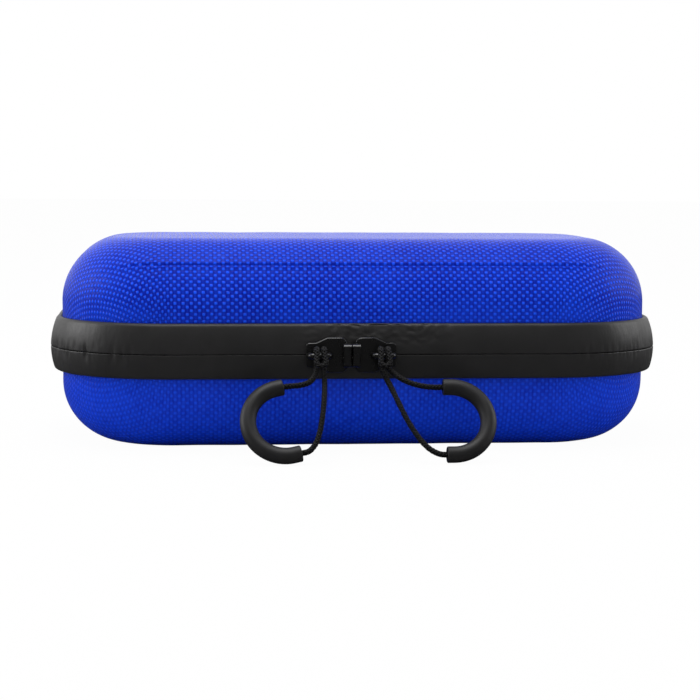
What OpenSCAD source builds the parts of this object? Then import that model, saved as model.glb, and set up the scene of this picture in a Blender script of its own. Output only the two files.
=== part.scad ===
// Hard stethoscope case: two moulded fabric-covered foam shells that open like a book on a cloth hinge,
// closed all round by a coil zipper under coated tape, with two sliders and their corded finger pulls.
// The frame's origin is the centre of the base's flat underside. X is the length, the front faces -Y.

/* [Case] */
// Length of the moulded shells, without the zipper band
case_l = 232; // [200:1:280]
// Width of the moulded shells from front to back, without the zipper band
case_w = 118; // [104:1:150]
// Height of the closed case
case_h = 80.6; // [79:0.2:105]
// Radius of the four upright corners, seen from above
corner_r = 43.5; // [40:0.5:49]
// Radius of the lid's top edge
lid_edge_r = 25.5; // [16:0.5:29]
// Radius of the base's bottom edge
base_edge_r = 24; // [14:0.5:27]

/* [Walls] */
// Thickness of the woven outer fabric with its backing
skin_t = 1.2; // [0.8:0.1:2]
// Thickness of the moulded foam
foam_t = 4; // [3:0.5:6]
// Thickness of the knitted lining
lining_t = 0.8; // [0.5:0.1:1.5]
// Thickness of the tape that binds the cut rims
binding_t = 0.7; // [0.4:0.1:1]
// Height of the binding's inner leg
binding_leg = 6; // [4:0.5:8]

/* [Zipper band] */
// Height of the zip line above the table
zip_h = 37.8; // [37:0.2:41]
// Height of the open gap between the two bound rims' shells
rim_gap = 14.4; // [14.2:0.2:16]
// How far the band stands out from the shells at the zip line
band_out = 4.6; // [4.4:0.1:6]
// How far the band reaches above the zip line
band_up = 11.6; // [10:0.2:13]
// How far the band reaches below the zip line
band_down = 9.5; // [9:0.1:10.5]
// Radius of the band's bulge across its height
band_bulge_r = 28; // [26:1:80]
// Thickness of the coated tape
tape_t = 1.2; // [0.8:0.1:1.4]
// Radius of the folded hems' outer edge
hem_r = 1.8; // [1:0.1:2]
// Width of the slit between the two tapes
slit_w = 1.2; // [1.1:0.1:2]
// Length of the cloth hinge along the back
hinge_l = 120; // [80:2:130]
// Thickness of the strip that covers the hinge on the inside
hinge_lining_t = 0.6; // [0.4:0.1:0.8]

/* [Zipper coil] */
// Distance from one coil turn to the next
coil_pitch = 2.4; // [2.2:0.1:3.2]
// Height of the coil over the tape
coil_t = 1.4; // [1.1:0.1:1.4]
// Distance from the zip line to the sewn side of the coil
coil_root = 3.2; // [2.8:0.1:3.3]
// How far the coil heads reach past the zip line
coil_head = 0.7; // [0.3:0.05:0.8]
// Height of a coil turn's blunt corner, which sets the width of its wire
coil_corner = 1.9; // [1.4:0.1:1.9]
// How far each coil is spread aside in the sliders' noses
coil_spread = 1.9; // [1.8:0.05:2.1]

/* [Sliders] */
// Place of the point where the two sliders meet, along the front
meet_x = -6; // [-20:1:20]
// Gap between the two sliders' noses
nose_gap = 3; // [1:0.5:8]
// Length of a slider
slider_l = 15.5; // [15:0.5:18]
// Width of a slider over its shoulders
slider_w = 13.2; // [13:0.1:13.6]
// Width of a slider at its tail
slider_tail_w = 9.2; // [9:0.1:11]
// Length of the shoulders, from the nose
shoulder_l = 7.5; // [6:0.5:8.5]
// Place where the narrow tail starts, from the nose
waist_l = 11.8; // [11:0.2:13]
// Thickness of the outer plate
outer_plate_t = 1.4; // [1:0.1:2]
// Thickness of the inner plate
inner_plate_t = 1; // [0.8:0.1:1]
// Thickness of the inner plate's turned-up flanges
flange_t = 1; // [0.7:0.1:1]
// Height of the flanges over the inner plate
flange_h = 1; // [0.7:0.1:1.1]
// Radius of the round bar over a slider that holds the pull
bar_r = 1.1; // [0.9:0.05:1.2]
// Height of the bar's centre over the outer plate
bar_rise = 4.1; // [4.1:0.1:5]
// Distance from the nose to the middle of the bar
bar_place = 10.5; // [10:0.1:10.6]
// Distance between the centre lines of the bar's two legs
bar_span = 7.6; // [7.2:0.1:7.8]
// Width of the lock eye on a slider's nose
eye_w = 8.6; // [7:0.1:10]
// Thickness of a lock eye, along the zip line
eye_t = 3; // [2:0.1:4]
// Radius of a lock eye's hole
eye_hole_r = 1.4; // [1:0.1:1.7]
// Radius of the bends between the bar and its legs
bar_bend_r = 1.6; // [1.3:0.1:1.7]

/* [Pulls] */
// Diameter of the braided pull cord
cord_d = 2.4; // [1.6:0.1:2.4]
// Diameter of a finger grip's tube
grip_d = 6.1; // [4.5:0.1:6.5]
// Radius of a finger grip, to the middle of its tube
grip_r = 13.5; // [11:0.1:14]
// Length of the straight end on each side of a grip's half circle
grip_end_l = 2.8; // [2:0.1:5]
// Direction that the left grip's half circle faces, where 0 is to the right
left_grip_turn = 193; // [180:1:205]
// Direction that the right grip's half circle faces
right_grip_turn = 0; // [-15:1:10]
// Depth of the sockets that hold the cord's ends
socket_l = 3; // [2:0.5:5]
// Lean of the resting pulls, out from upright
pull_lean = 30; // [20:1:45]

/* [Inside] */
// Width of the straps that hold the stethoscope
strap_w = 25; // [15:1:40]
// Thickness of a strap
strap_t = 1.2; // [0.8:0.1:2]
// Distance of the straps from the middle of the case
strap_x = 48; // [30:1:60]
// Overlap of a strap's two halves
strap_lap = 26; // [16:1:40]
// Distance between the net's threads
net_pitch = 9; // [9:0.5:14]
// Width of the net's threads
net_thread = 1.5; // [1:0.1:3]
// Thickness of the net
net_t = 0.8; // [0.5:0.1:1.2]
// Width of the net's plain border
net_border = 5; // [3:0.5:8]
// Width of the pocket's open mouth, from the front rim's binding to the elastic hem
mouth_w = 12.3; // [8:0.1:20]
// Width of the elastic hem along the net's front edge
hem_w = 5; // [3:0.5:8]
// Thickness of the elastic hem
hem_t = 1.6; // [1:0.1:2]
// Height of the net above the lid's rim
net_rise = 1.6; // [1.5:0.1:3]

/* [Hidden] */
$fn = 96;

FABRIC = "#1438b8";
FOAM = "#2b2b2e";
LINING = "#3a3d42";
TAPE = "#2e2e30";
COIL = "#1d1d1f";
BINDING = "#242426";
STRAP = "#1b1b1d";
NET = "#4a4c50";
METAL = "#141416";
CORD = "#1c1c1e";
RUBBER = "#3a393c";

wall_t = skin_t + foam_t + lining_t;
corner_x = case_l / 2 - corner_r;
corner_y = case_w / 2 - corner_r;
rim_reach = rim_gap / 2;
base_rim = zip_h - rim_reach;
lid_rim = zip_h + rim_reach;
lid_depth = case_h - lid_rim;
bound_r = corner_r - wall_t - binding_t;
cut_over = 1;

// The slider's layers, measured out from the shells' outer face
play = 0.3;
under_plate = play;
over_inner_plate = under_plate + inner_plate_t;
outer_plate = band_out + 0.2;
over_plate = outer_plate + outer_plate_t;
bar_out = over_plate + bar_rise;
post_from = 0.8;
post_to = 6.2;
post_half = 0.95;
neck_half = 0.45;
nose_r = 2.6;
tail_r = 1.2;
eye_gap = 0.4;
eye_wall = 1.2;
eye_sill = 0.2;
eye_round_r = 1.4;
eye_rise = eye_sill + 2 * eye_hole_r + eye_wall;

// The pulls
cord_turn_r = 2.6;
hitch_half = 1.35;
bight_r = 1.7;
bight_drop = 3.6;
table_gap = 0.3;
socket_play = 0.2;
grip_drop = (zip_h - grip_d / 2 - table_gap) / cos(pull_lean) - grip_r;
left_grip_side = -14;
right_grip_side = 24;

// The free stretches of the cords as [along the case, down from the bar, out of the pull's plane]
left_upper_route = [[-1.4, 3.8, -2.1], [-2.2, 7.4, -1], [-4.3, 10.3, -0.3], [-7.6, 11.7, 0], [-11.4, 12.1, 0]];
left_lower_route = [
    [1.35, 3.8, -2.1], [1.3, 9, -1], [1, 15, -0.3], [0.4, 21, 0], [-0.4, 26.4, 0],
    [-1.4, 31, 0], [-2.9, 35, 0], [-5.3, 37.9, 0]
];
right_upper_route = [[1.6, 3.8, -2.1], [4.4, 7.6, -1], [8.4, 10.5, -0.3], [13.2, 12.2, 0], [18, 12.8, 0]];
right_lower_route = [
    [-1.1, 3.8, -2.1], [0.2, 8, -1.2], [2.4, 13.6, -0.5], [4.8, 20, 0], [7.6, 26.6, 0],
    [11.2, 33, 0], [14.6, 37.2, 0], [18.2, 39.4, 0]
];

// Points on an arc from one angle to another
function arc(centre, r, from, to, steps) =
    [for (i = [0 : steps]) let (a = from + (to - from) * i / steps) centre + r * [cos(a), sin(a)]];

function flip(points) = [for (p = points) [p[0], -p[1]]];
function reversed(points) = [for (i = [len(points) - 1 : -1 : 0]) points[i]];

// Runs a wall section round the case. Its x is the distance out from the corner's centre, y the height.
module run_round(back_gap = 0) {
    for (turn = [0 : 3])
        translate([(turn == 0 || turn == 3 ? 1 : -1) * corner_x, (turn < 2 ? 1 : -1) * corner_y, 0])
            rotate([0, 0, 90 * turn]) rotate_extrude(angle = 90) children();
    for (side = [0, 180])
        rotate([0, 0, side]) translate([corner_x, 0, 0]) straight_run(2 * corner_y) children();
    rotate([0, 0, -90]) translate([corner_y, 0, 0]) straight_run(2 * corner_x) children();
    if (back_gap == 0)
        rotate([0, 0, 90]) translate([corner_y, 0, 0]) straight_run(2 * corner_x) children();
    else
        for (end = [-1, 1])
            rotate([0, 0, 90]) translate([corner_y, end * (corner_x + back_gap / 2) / 2, 0])
                straight_run(corner_x - back_gap / 2) children();
}

module straight_run(length) {
    rotate([90, 0, 0]) linear_extrude(length, center = true) children();
}

// Rounded rectangle round the four corner centres
module plan(r) {
    square([2 * corner_x, 2 * (corner_y + r)], center = true);
    square([2 * (corner_x + r), 2 * corner_y], center = true);
    for (sx = [-1, 1], sy = [-1, 1])
        translate([sx * corner_x, sy * corner_y]) intersection() {
            circle(r);
            translate([sx > 0 ? 0 : -r, sy > 0 ? 0 : -r]) square(r);
        }
}

// Half section of a filled pan, inset from its outer face. y runs up from the closed face.
module pan_section(edge_r, inset, depth) {
    r = edge_r - inset;
    flat = corner_r - edge_r;
    translate([0, inset]) square([flat, depth - inset]);
    translate([flat, edge_r]) square([r, depth - edge_r]);
    translate([flat, edge_r]) intersection() {
        circle(r);
        translate([0, -r]) square(r);
    }
}

// One layer of a moulded shell, between two insets from its outer face
module shell_layer(edge_r, depth, outer, inner) {
    run_round() difference() {
        pan_section(edge_r, outer, depth);
        pan_section(edge_r, inner, depth + cut_over);
    }
    translate([-corner_x, -corner_y, outer]) cube([2 * corner_x, 2 * corner_y, inner - outer]);
}

module base_layer(outer, inner) {
    shell_layer(base_edge_r, base_rim, outer, inner);
}

module lid_layer(outer, inner) {
    translate([0, 0, case_h]) mirror([0, 0, 1]) shell_layer(lid_edge_r, lid_depth, outer, inner);
}

// Bound rim: a bar over the cut edge with a leg down the lining. side is 1 where the rim faces up.
module rim_binding(rim, side) {
    run_round() {
        translate([bound_r, side > 0 ? rim : rim - binding_t]) square([corner_r - bound_r, binding_t]);
        translate([bound_r, side > 0 ? rim - binding_leg : rim]) square([binding_t, binding_leg]);
    }
}

module base_fabric_skin() {
    color(FABRIC) base_layer(0, skin_t);
}

module base_foam_shell() {
    color(FOAM) base_layer(skin_t, skin_t + foam_t);
}

module base_lining() {
    color(LINING) base_layer(skin_t + foam_t, wall_t);
}

module base_rim_binding() {
    color(BINDING) rim_binding(base_rim, 1);
}

module lid_fabric_skin() {
    color(FABRIC) lid_layer(0, skin_t);
}

module lid_foam_shell() {
    color(FOAM) lid_layer(skin_t, skin_t + foam_t);
}

module lid_lining() {
    color(LINING) lid_layer(skin_t + foam_t, wall_t);
}

module lid_rim_binding() {
    color(BINDING) rim_binding(lid_rim, -1);
}

// Distance out from the corner's centre of the bulged tape, at a height over the zip line
bulge_x = corner_r + band_out - band_bulge_r;
function tape_x(h, depth) = bulge_x + sqrt(pow(band_bulge_r - depth, 2) - h * h);

// Section of one coated tape with its folded hem. side is -1 below the zip line and 1 above.
function tape_outline(reach, slit) =
    let (
        hem_y = reach - hem_r,
        hem_x = sqrt(pow(band_bulge_r - hem_r, 2) - hem_y * hem_y),
        hem_turn = atan2(hem_y, hem_x),
        inner_r = band_bulge_r - tape_t
    )
    concat(
        arc([bulge_x, 0], band_bulge_r, asin(slit / 2 / band_bulge_r), hem_turn, 5),
        [for (i = [1 : 5]) let (a = hem_turn + (90 - hem_turn) * i / 5)
            [bulge_x + hem_x + hem_r * cos(a), hem_y + hem_r * sin(a)]],
        [[corner_r, reach], [corner_r, rim_reach]],
        arc([bulge_x, 0], inner_r, asin(rim_reach / inner_r), asin(slit / 2 / inner_r), 4)
    );

module tape_section(side, reach, slit) {
    translate([0, zip_h]) polygon(side > 0 ? tape_outline(reach, slit) : flip(tape_outline(reach, slit)));
}

module lower_zip_tape() {
    color(TAPE) run_round(hinge_l) tape_section(-1, band_down, slit_w);
}

module upper_zip_tape() {
    color(TAPE) run_round(hinge_l) tape_section(1, band_up, slit_w);
}

// Section of the cloth hinge: both tapes and hems in one piece, with no slit
hinge_low = flip(tape_outline(band_down, 0));
hinge_outline = concat(
    tape_outline(band_up, 0),
    [for (i = [len(hinge_low) - 2 : -1 : 1]) hinge_low[i]]
);

// Cloth hinge that carries on the band along the back
module hinge_strip() {
    color(TAPE) rotate([0, 0, 90]) translate([corner_y, 0, 0]) straight_run(hinge_l)
        translate([0, zip_h]) polygon(hinge_outline);
}

// Strip that covers the hinge's gap on the inside, from one bound rim to the other
module hinge_lining_strip() {
    lap = net_rise - 0.2;
    color(LINING)
        translate([-hinge_l / 2, corner_y + bound_r - hinge_lining_t, base_rim - binding_leg + 2])
            cube([hinge_l, hinge_lining_t, rim_gap + binding_leg - 2 + lap]);
}

// The coil's way round the case, by length from the back's left end
side_run = 2 * corner_y;
front_run = 2 * corner_x;
back_run = corner_x - hinge_l / 2;
coil_turn_r = corner_r + band_out - tape_t - coil_t / 2;
corner_run = coil_turn_r * PI / 2;
coil_run = 2 * back_run + 4 * corner_run + 2 * side_run + front_run;
coil_turns = floor(coil_run / coil_pitch);
coil_seat = tape_t + 0.05;

// Each stretch: [start point, direction that the run takes, length, is it a corner]
coil_stretches = [
    [[-hinge_l / 2, corner_y], 180, back_run, false],
    [[-corner_x, corner_y], 180, corner_run, true],
    [[-corner_x, corner_y], 270, side_run, false],
    [[-corner_x, -corner_y], 270, corner_run, true],
    [[-corner_x, -corner_y], 0, front_run, false],
    [[corner_x, -corner_y], 0, corner_run, true],
    [[corner_x, -corner_y], 90, side_run, false],
    [[corner_x, corner_y], 90, corner_run, true],
    [[corner_x, corner_y], 180, back_run, false]
];

// Place on the line of the corner centres and the outward direction, at a length along the coil's way
function coil_place(s, i = 0) =
    let (part = coil_stretches[i], last = i == len(coil_stretches) - 1)
    s > part[2] && !last ? coil_place(s - part[2], i + 1) :
    part[3] ? [part[0], part[1] - 90 + 90 * s / part[2]] :
    [part[0] + min(s, part[2]) * [cos(part[1]), sin(part[1])], part[1] - 90];

// How far the coils are spread aside near the sliders' meeting point
spread_to = nose_gap / 2 + post_to + 0.3;
spread_end = nose_gap / 2 + waist_l - 0.8;
function eased(t) = let (c = max(0, min(1, t))) c * c * (3 - 2 * c);
function spread_at(place) =
    place[1] == -90
        ? coil_spread * (1 - eased((abs(place[0][0] - meet_x) - spread_to) / (spread_end - spread_to)))
        : 0;

// Four corners of the coil's wire where it turns: outer side h1, inner side h2, over the tape's inner face
function coil_ring(place, h1, h2) =
    let (out = [cos(place[1]), sin(place[1])])
    [for (c = [[h1, 0], [h2, 0], [h2, coil_t], [h1, coil_t]])
        let (reach = tape_x(c[0], coil_seat) - c[1])
        [place[0][0] + out[0] * reach, place[0][1] + out[1] * reach, zip_h + c[0]]];

// Zigzag of one coil: side is -1 for the lower one and 1 for the upper one, half a turn apart
module zip_coil(side) {
    rings = [
        for (i = [0 : 2 * coil_turns - 2])
            let (
                place = coil_place((i / 2 + (side > 0 ? 0.75 : 0.25)) * coil_pitch),
                head = i % 2 == 0,
                spread = spread_at(place),
                far = head ? coil_head - spread : coil_corner - coil_root - spread,
                near = far - coil_corner
            )
            coil_ring(place, -side * far, -side * near)
    ];
    sweep_rings(side > 0 ? [for (ring = rings) reversed(ring)] : rings);
}

// Closed skin over rings of points
module sweep_rings(rings) {
    sides = len(rings[0]);
    last = len(rings) - 1;
    points = [for (ring = rings) each ring];
    walls = [
        for (i = [0 : last - 1], k = [0 : sides - 1])
            let (a = i * sides + k, b = i * sides + (k + 1) % sides)
            each [[a, b, b + sides], [a, b + sides, a + sides]]
    ];
    start_cap = [for (k = [1 : sides - 2]) [0, k + 1, k]];
    end_cap = [for (k = [1 : sides - 2]) [last * sides, last * sides + k, last * sides + k + 1]];
    polyhedron(points, concat(walls, start_cap, end_cap), convexity = 4);
}

module lower_zip_coil() {
    color(COIL) zip_coil(-1);
}

module upper_zip_coil() {
    color(COIL) zip_coil(1);
}

// Straps: two halves sewn up the front and back of the base's floor, lapped in the middle
floor_z = wall_t;
strap_turn_r = base_edge_r - wall_t;
strap_turn = [case_w / 2 - base_edge_r, base_edge_r];
strap_rise = 40;

module strap_half(x, outline) {
    color(STRAP) translate([x - strap_w / 2, 0, 0]) rotate([90, 0, 90]) linear_extrude(strap_w) polygon(outline);
}

hook_outline = concat(
    arc([-strap_turn[0], strap_turn[1]], strap_turn_r, 270 - strap_rise, 270, 4),
    [[strap_lap / 2, floor_z], [strap_lap / 2, floor_z + strap_t]],
    arc([-strap_turn[0], strap_turn[1]], strap_turn_r - strap_t, 270, 270 - strap_rise, 4)
);

strap_ramp = 3;
loop_outline = concat(
    arc(strap_turn, strap_turn_r, 270 + strap_rise, 270, 4),
    [
        [strap_lap / 2 + strap_ramp, floor_z],
        [strap_lap / 2, floor_z + strap_t],
        [-strap_lap / 2, floor_z + strap_t],
        [-strap_lap / 2, floor_z + 2 * strap_t],
        [strap_lap / 2 + strap_t / 4, floor_z + 2 * strap_t],
        [strap_lap / 2 + strap_ramp + strap_t / 4, floor_z + strap_t]
    ],
    arc(strap_turn, strap_turn_r - strap_t, 270, 270 + strap_rise, 4)
);

module left_strap_hook_half() {
    strap_half(-strap_x, hook_outline);
}

module left_strap_loop_half() {
    strap_half(-strap_x, loop_outline);
}

module right_strap_hook_half() {
    strap_half(strap_x, hook_outline);
}

module right_strap_loop_half() {
    strap_half(strap_x, loop_outline);
}

// Net across the lid, sewn to the bound rim on three sides and open at the front
net_z = lid_rim + net_rise;
net_front = corner_y + bound_r - mouth_w - hem_w;
net_hole = net_pitch - net_thread;
function in_plan(x, y, r) = norm([max(abs(x) - corner_x, 0), max(abs(y) - corner_y, 0)]) <= r;
net_columns = floor((corner_x + bound_r) / net_pitch);
net_rows = floor((corner_y + bound_r) / net_pitch);

module lid_mesh_pocket() {
    color(NET) translate([0, 0, net_z]) linear_extrude(net_t) difference() {
        intersection() {
            plan(bound_r);
            translate([-case_l, -net_front]) square([2 * case_l, case_w]);
        }
        for (i = [-net_columns : net_columns], j = [-net_rows : net_rows]) {
            x = i * net_pitch;
            y = j * net_pitch;
            if (in_plan(abs(x) + net_hole / 2, abs(y) + net_hole / 2, bound_r - net_border)
                && y - net_hole / 2 > net_border - net_front)
                translate([x, y]) square(net_hole, center = true);
        }
    }
}

module mesh_pocket_elastic_hem() {
    color(STRAP) translate([0, 0, net_z - (hem_t - net_t) / 2]) linear_extrude(hem_t) intersection() {
        plan(bound_r);
        translate([-case_l, -net_front - hem_w]) square([2 * case_l, hem_w]);
    }
}

// Outline of a slider's plates: x from the nose to the tail, y over the zip line
slider_half = concat(
    arc([nose_r, slider_w / 2 - nose_r], nose_r, 180, 90, 5),
    [[shoulder_l, slider_w / 2], [waist_l, slider_tail_w / 2]],
    arc([slider_l - tail_r, slider_tail_w / 2 - tail_r], tail_r, 90, 0, 3)
);
slider_outline = concat(slider_half, reversed(flip(slider_half)));

// The way between the flanges, open at both ends
channel_half = [
    [-cut_over, slider_w / 2 - flange_t],
    [shoulder_l, slider_w / 2 - flange_t],
    [waist_l, slider_tail_w / 2 - flange_t],
    [slider_l + cut_over, slider_tail_w / 2 - flange_t]
];
channel_outline = concat(channel_half, reversed(flip(channel_half)));

// Wedge that parts the coils, blunt towards the nose
post_half_outline = [
    [post_from, neck_half], [post_from + 0.8, post_half], [post_from + 2, post_half], [post_to, neck_half]
];
post_outline = concat(post_half_outline, reversed(flip(post_half_outline)));

module layer(from, to) {
    translate([0, 0, from]) linear_extrude(to - from) children();
}

// Round bar bent down to the outer plate at both ends, for the pull's cord
module pull_bar() {
    half_span = bar_span / 2;
    translate([bar_place, 0, over_plate]) {
        for (end = [0, 1])
            mirror([end, 0, 0]) {
                translate([half_span, 0, -outer_plate_t / 2])
                    cylinder(h = bar_rise - bar_bend_r + outer_plate_t / 2, r = bar_r);
                translate([half_span - bar_bend_r, 0, bar_rise - bar_bend_r])
                    rotate([90, 0, 0]) rotate_extrude(angle = 90) translate([bar_bend_r, 0]) circle(bar_r);
            }
        translate([bar_bend_r - half_span, 0, bar_rise]) rotate([0, 90, 0])
            cylinder(h = bar_span - 2 * bar_bend_r, r = bar_r);
    }
}

// Eye on the nose for a small padlock through both sliders: an arch, with its hole along the zip line
module lock_eye() {
    half = eye_w / 2 - eye_round_r;
    top = over_plate + eye_rise;
    translate([(eye_gap - nose_gap) / 2, 0, 0]) rotate([90, 0, 90]) linear_extrude(eye_t) difference() {
        union() {
            translate([-eye_w / 2, outer_plate]) square([eye_w, top - eye_round_r - outer_plate]);
            translate([-half, outer_plate]) square([2 * half, top - outer_plate]);
            for (side = [-1, 1]) translate([side * half, top - eye_round_r]) circle(eye_round_r);
        }
        translate([0, over_plate + eye_sill + eye_hole_r]) circle(eye_hole_r);
    }
}

// Slider in the front's own frame: x from the nose, y over the zip line, z out from the shells
module slider() {
    layer(under_plate, over_inner_plate) polygon(slider_outline);
    layer(over_inner_plate, over_inner_plate + flange_h) difference() {
        polygon(slider_outline);
        polygon(channel_outline);
    }
    layer(over_inner_plate, band_out - tape_t - play) polygon(post_outline);
    layer(over_inner_plate, outer_plate)
        translate([post_from, -neck_half]) square([post_to - post_from, 2 * neck_half]);
    layer(outer_plate, over_plate) polygon(slider_outline);
    lock_eye();
    pull_bar();
}

// Puts a slider on the front; side is -1 for the left one and 1 for the right one
module on_front(side) {
    translate([meet_x + side * nose_gap / 2, -case_w / 2, zip_h])
        mirror([side < 0 ? 1 : 0, 0, 0]) rotate([90, 0, 0]) children();
}

module left_slider() {
    color(METAL) on_front(-1) slider();
}

module right_slider() {
    color(METAL) on_front(1) slider();
}

// Puts a pull on its bar: x along the case, y up in the pull's leaning plane, z out of it
module on_bar(side) {
    translate([meet_x + side * (nose_gap / 2 + bar_place), -case_w / 2 - bar_out, zip_h])
        rotate([90 - pull_lean, 0, 0]) children();
}

// C-shaped tube, a half circle with straight ends, and a socket for the cord in each end
module pull_grip(grip_side, turn) {
    translate([grip_side, -grip_drop, 0]) rotate([0, 0, turn]) difference() {
        union() {
            rotate([0, 0, -90]) rotate_extrude(angle = 180) translate([grip_r, 0]) circle(grip_d / 2);
            for (end = [-1, 1])
                translate([-grip_end_l, end * grip_r, 0]) rotate([0, 90, 0]) cylinder(h = grip_end_l, r = grip_d / 2);
        }
        for (end = [-1, 1])
            translate([-grip_end_l - cut_over, end * grip_r, 0]) rotate([0, 90, 0])
                cylinder(h = socket_l + cut_over, r = cord_d / 2 + socket_play);
    }
}

module left_pull_grip() {
    color(RUBBER) on_bar(-1) pull_grip(left_grip_side, left_grip_turn);
}

module right_pull_grip() {
    color(RUBBER) on_bar(1) pull_grip(right_grip_side, right_grip_turn);
}

// Mouth and bottom of a grip's socket. end is 1 or -1 for the two ends of its half circle.
function socket_points(grip_side, turn, end) =
    let (
        along = [cos(turn), sin(turn), 0],
        across = [-sin(turn), cos(turn), 0],
        mouth = [grip_side, -grip_drop, 0] + end * grip_r * across - grip_end_l * along
    )
    [mouth, mouth + socket_l * along];

// The cord's two turns over the bar, up from behind it and down in front, tied by a loop that lies before
// both hanging ends. side is -1 where the upper end's turn is the left one.
function hitch(side) =
    let (
        first = [for (a = [180 : -30 : 0]) [side * hitch_half, cord_turn_r * sin(a), cord_turn_r * cos(a)]],
        bight = [for (a = [0 : 30 : 180])
            [side * bight_r * cos(a), -bight_drop - bight_r * sin(a), cord_turn_r]]
    )
    concat(first, bight, [for (p = reversed(first)) [-p[0], p[1], p[2]]]);

function hung(route) = [for (p = route) [p[0], -p[1], p[2]]];

function unit(v) = v / norm(v);
function turned(normal, tangent) = unit(normal - (normal * tangent) * tangent);

// Normals carried along the path without twist
function carried(tangents, normal, i = 0) =
    i == len(tangents) ? [] :
    let (n = turned(normal, tangents[i])) concat([n], carried(tangents, n, i + 1));

cord_sides = 8;

// Round cord along a path, square to its ends
module cord(path) {
    last = len(path) - 1;
    tangents = [for (i = [0 : last]) unit(path[min(i + 1, last)] - path[max(i - 1, 0)])];
    normals = carried(tangents, [0, 0, 1]);
    sweep_rings([
        for (i = [0 : last])
            let (across = cross(tangents[i], normals[i]))
            [for (k = [0 : cord_sides - 1])
                let (a = 360 * k / cord_sides)
                path[i] + cord_d / 2 * (cos(a) * normals[i] + sin(a) * across)]
    ]);
}

module left_pull_cord() {
    upper_end = socket_points(left_grip_side, left_grip_turn, -1);
    lower_end = socket_points(left_grip_side, left_grip_turn, 1);
    color(CORD) on_bar(-1) cord(concat(
        reversed(upper_end), reversed(hung(left_upper_route)), hitch(-1),
        hung(left_lower_route), lower_end
    ));
}

module right_pull_cord() {
    upper_end = socket_points(right_grip_side, right_grip_turn, 1);
    lower_end = socket_points(right_grip_side, right_grip_turn, -1);
    color(CORD) on_bar(1) cord(concat(
        reversed(upper_end), reversed(hung(right_upper_route)), hitch(1),
        hung(right_lower_route), lower_end
    ));
}

base_fabric_skin();
base_foam_shell();
base_lining();
base_rim_binding();
lower_zip_tape();
lower_zip_coil();
hinge_strip();
hinge_lining_strip();
left_strap_hook_half();
left_strap_loop_half();
right_strap_hook_half();
right_strap_loop_half();
lid_fabric_skin();
lid_foam_shell();
lid_lining();
lid_rim_binding();
upper_zip_tape();
upper_zip_coil();
lid_mesh_pocket();
mesh_pocket_elastic_hem();
left_slider();
right_slider();
left_pull_cord();
right_pull_cord();
left_pull_grip();
right_pull_grip();
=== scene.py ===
# %% [markdown]
# A hard zip case for a stethoscope is two moulded shells, a zipper band between them, and two sliders with
# corded finger pulls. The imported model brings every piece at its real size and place. This lesson keeps that
# frame fixed and dresses it: covers with woven fabric, coated zipper tape, coils, thread, cord and rubber.

# %% Load the frame
import math

import bmesh
import bpy
from mathutils import Matrix, Vector, geometry, noise


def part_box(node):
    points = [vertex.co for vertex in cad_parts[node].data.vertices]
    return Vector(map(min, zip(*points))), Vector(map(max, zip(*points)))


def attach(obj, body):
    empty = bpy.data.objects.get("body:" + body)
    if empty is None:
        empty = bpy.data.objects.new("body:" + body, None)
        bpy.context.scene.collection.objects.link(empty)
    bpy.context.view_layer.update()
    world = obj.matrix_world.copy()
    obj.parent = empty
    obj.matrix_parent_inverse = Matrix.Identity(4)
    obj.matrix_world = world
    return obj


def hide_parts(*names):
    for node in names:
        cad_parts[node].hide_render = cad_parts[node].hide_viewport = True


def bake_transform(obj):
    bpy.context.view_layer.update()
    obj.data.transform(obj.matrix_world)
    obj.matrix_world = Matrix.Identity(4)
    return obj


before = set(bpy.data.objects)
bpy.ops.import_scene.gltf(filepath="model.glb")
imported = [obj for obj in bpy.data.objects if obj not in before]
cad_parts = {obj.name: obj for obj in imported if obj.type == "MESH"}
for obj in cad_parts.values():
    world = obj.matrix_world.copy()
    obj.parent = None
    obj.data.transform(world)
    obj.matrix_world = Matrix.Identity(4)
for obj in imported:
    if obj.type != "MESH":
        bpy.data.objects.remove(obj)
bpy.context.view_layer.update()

MM = 0.001


def put(name, data):
    """Object of some data, linked to the scene at the origin."""
    made = bpy.data.objects.new(name, data)
    bpy.context.collection.objects.link(made)
    return made


# %% [markdown]
# The camera comes first, and it stands where the photograph was taken from. The photograph was taken with a
# long lens, a little from the left and a little from above. Turning the camera by its own right, up and back
# directions is plainer than angles when there is some roll as well.

# %% Camera at the photograph's viewing angle
view_target = Vector((-0.4, 0, 33.6)) * MM
view_distance = 788 * MM
view_azimuth = math.radians(-5.37)
view_elevation = math.radians(5.36)
view_roll = math.radians(0.33)

back = Vector((
    math.sin(view_azimuth) * math.cos(view_elevation),
    -math.cos(view_azimuth) * math.cos(view_elevation),
    math.sin(view_elevation),
))
level_right = Vector((math.cos(view_azimuth), math.sin(view_azimuth), 0))
level_up = back.cross(level_right)
right = level_right * math.cos(view_roll) + level_up * math.sin(view_roll)
up = level_up * math.cos(view_roll) - level_right * math.sin(view_roll)

camera_data = bpy.data.cameras.new("camera")
camera_data.sensor_width = 36
camera_data.lens = 98.9
camera = put("camera", camera_data)
camera.matrix_world = Matrix.Translation(view_target + back * view_distance) @ Matrix((
    (right.x, up.x, back.x, 0),
    (right.y, up.y, back.y, 0),
    (right.z, up.z, back.z, 0),
    (0, 0, 0, 1),
))
bpy.context.scene.camera = camera
print("camera at", [round(c, 3) for c in camera.matrix_world.translation])

# %% [markdown]
# The sizes of the case are the ones that its makers would mark on a drawing. The shells are pans with round
# upright corners and a rounded closed edge, so a few radii and heights say where every cover goes.

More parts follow.
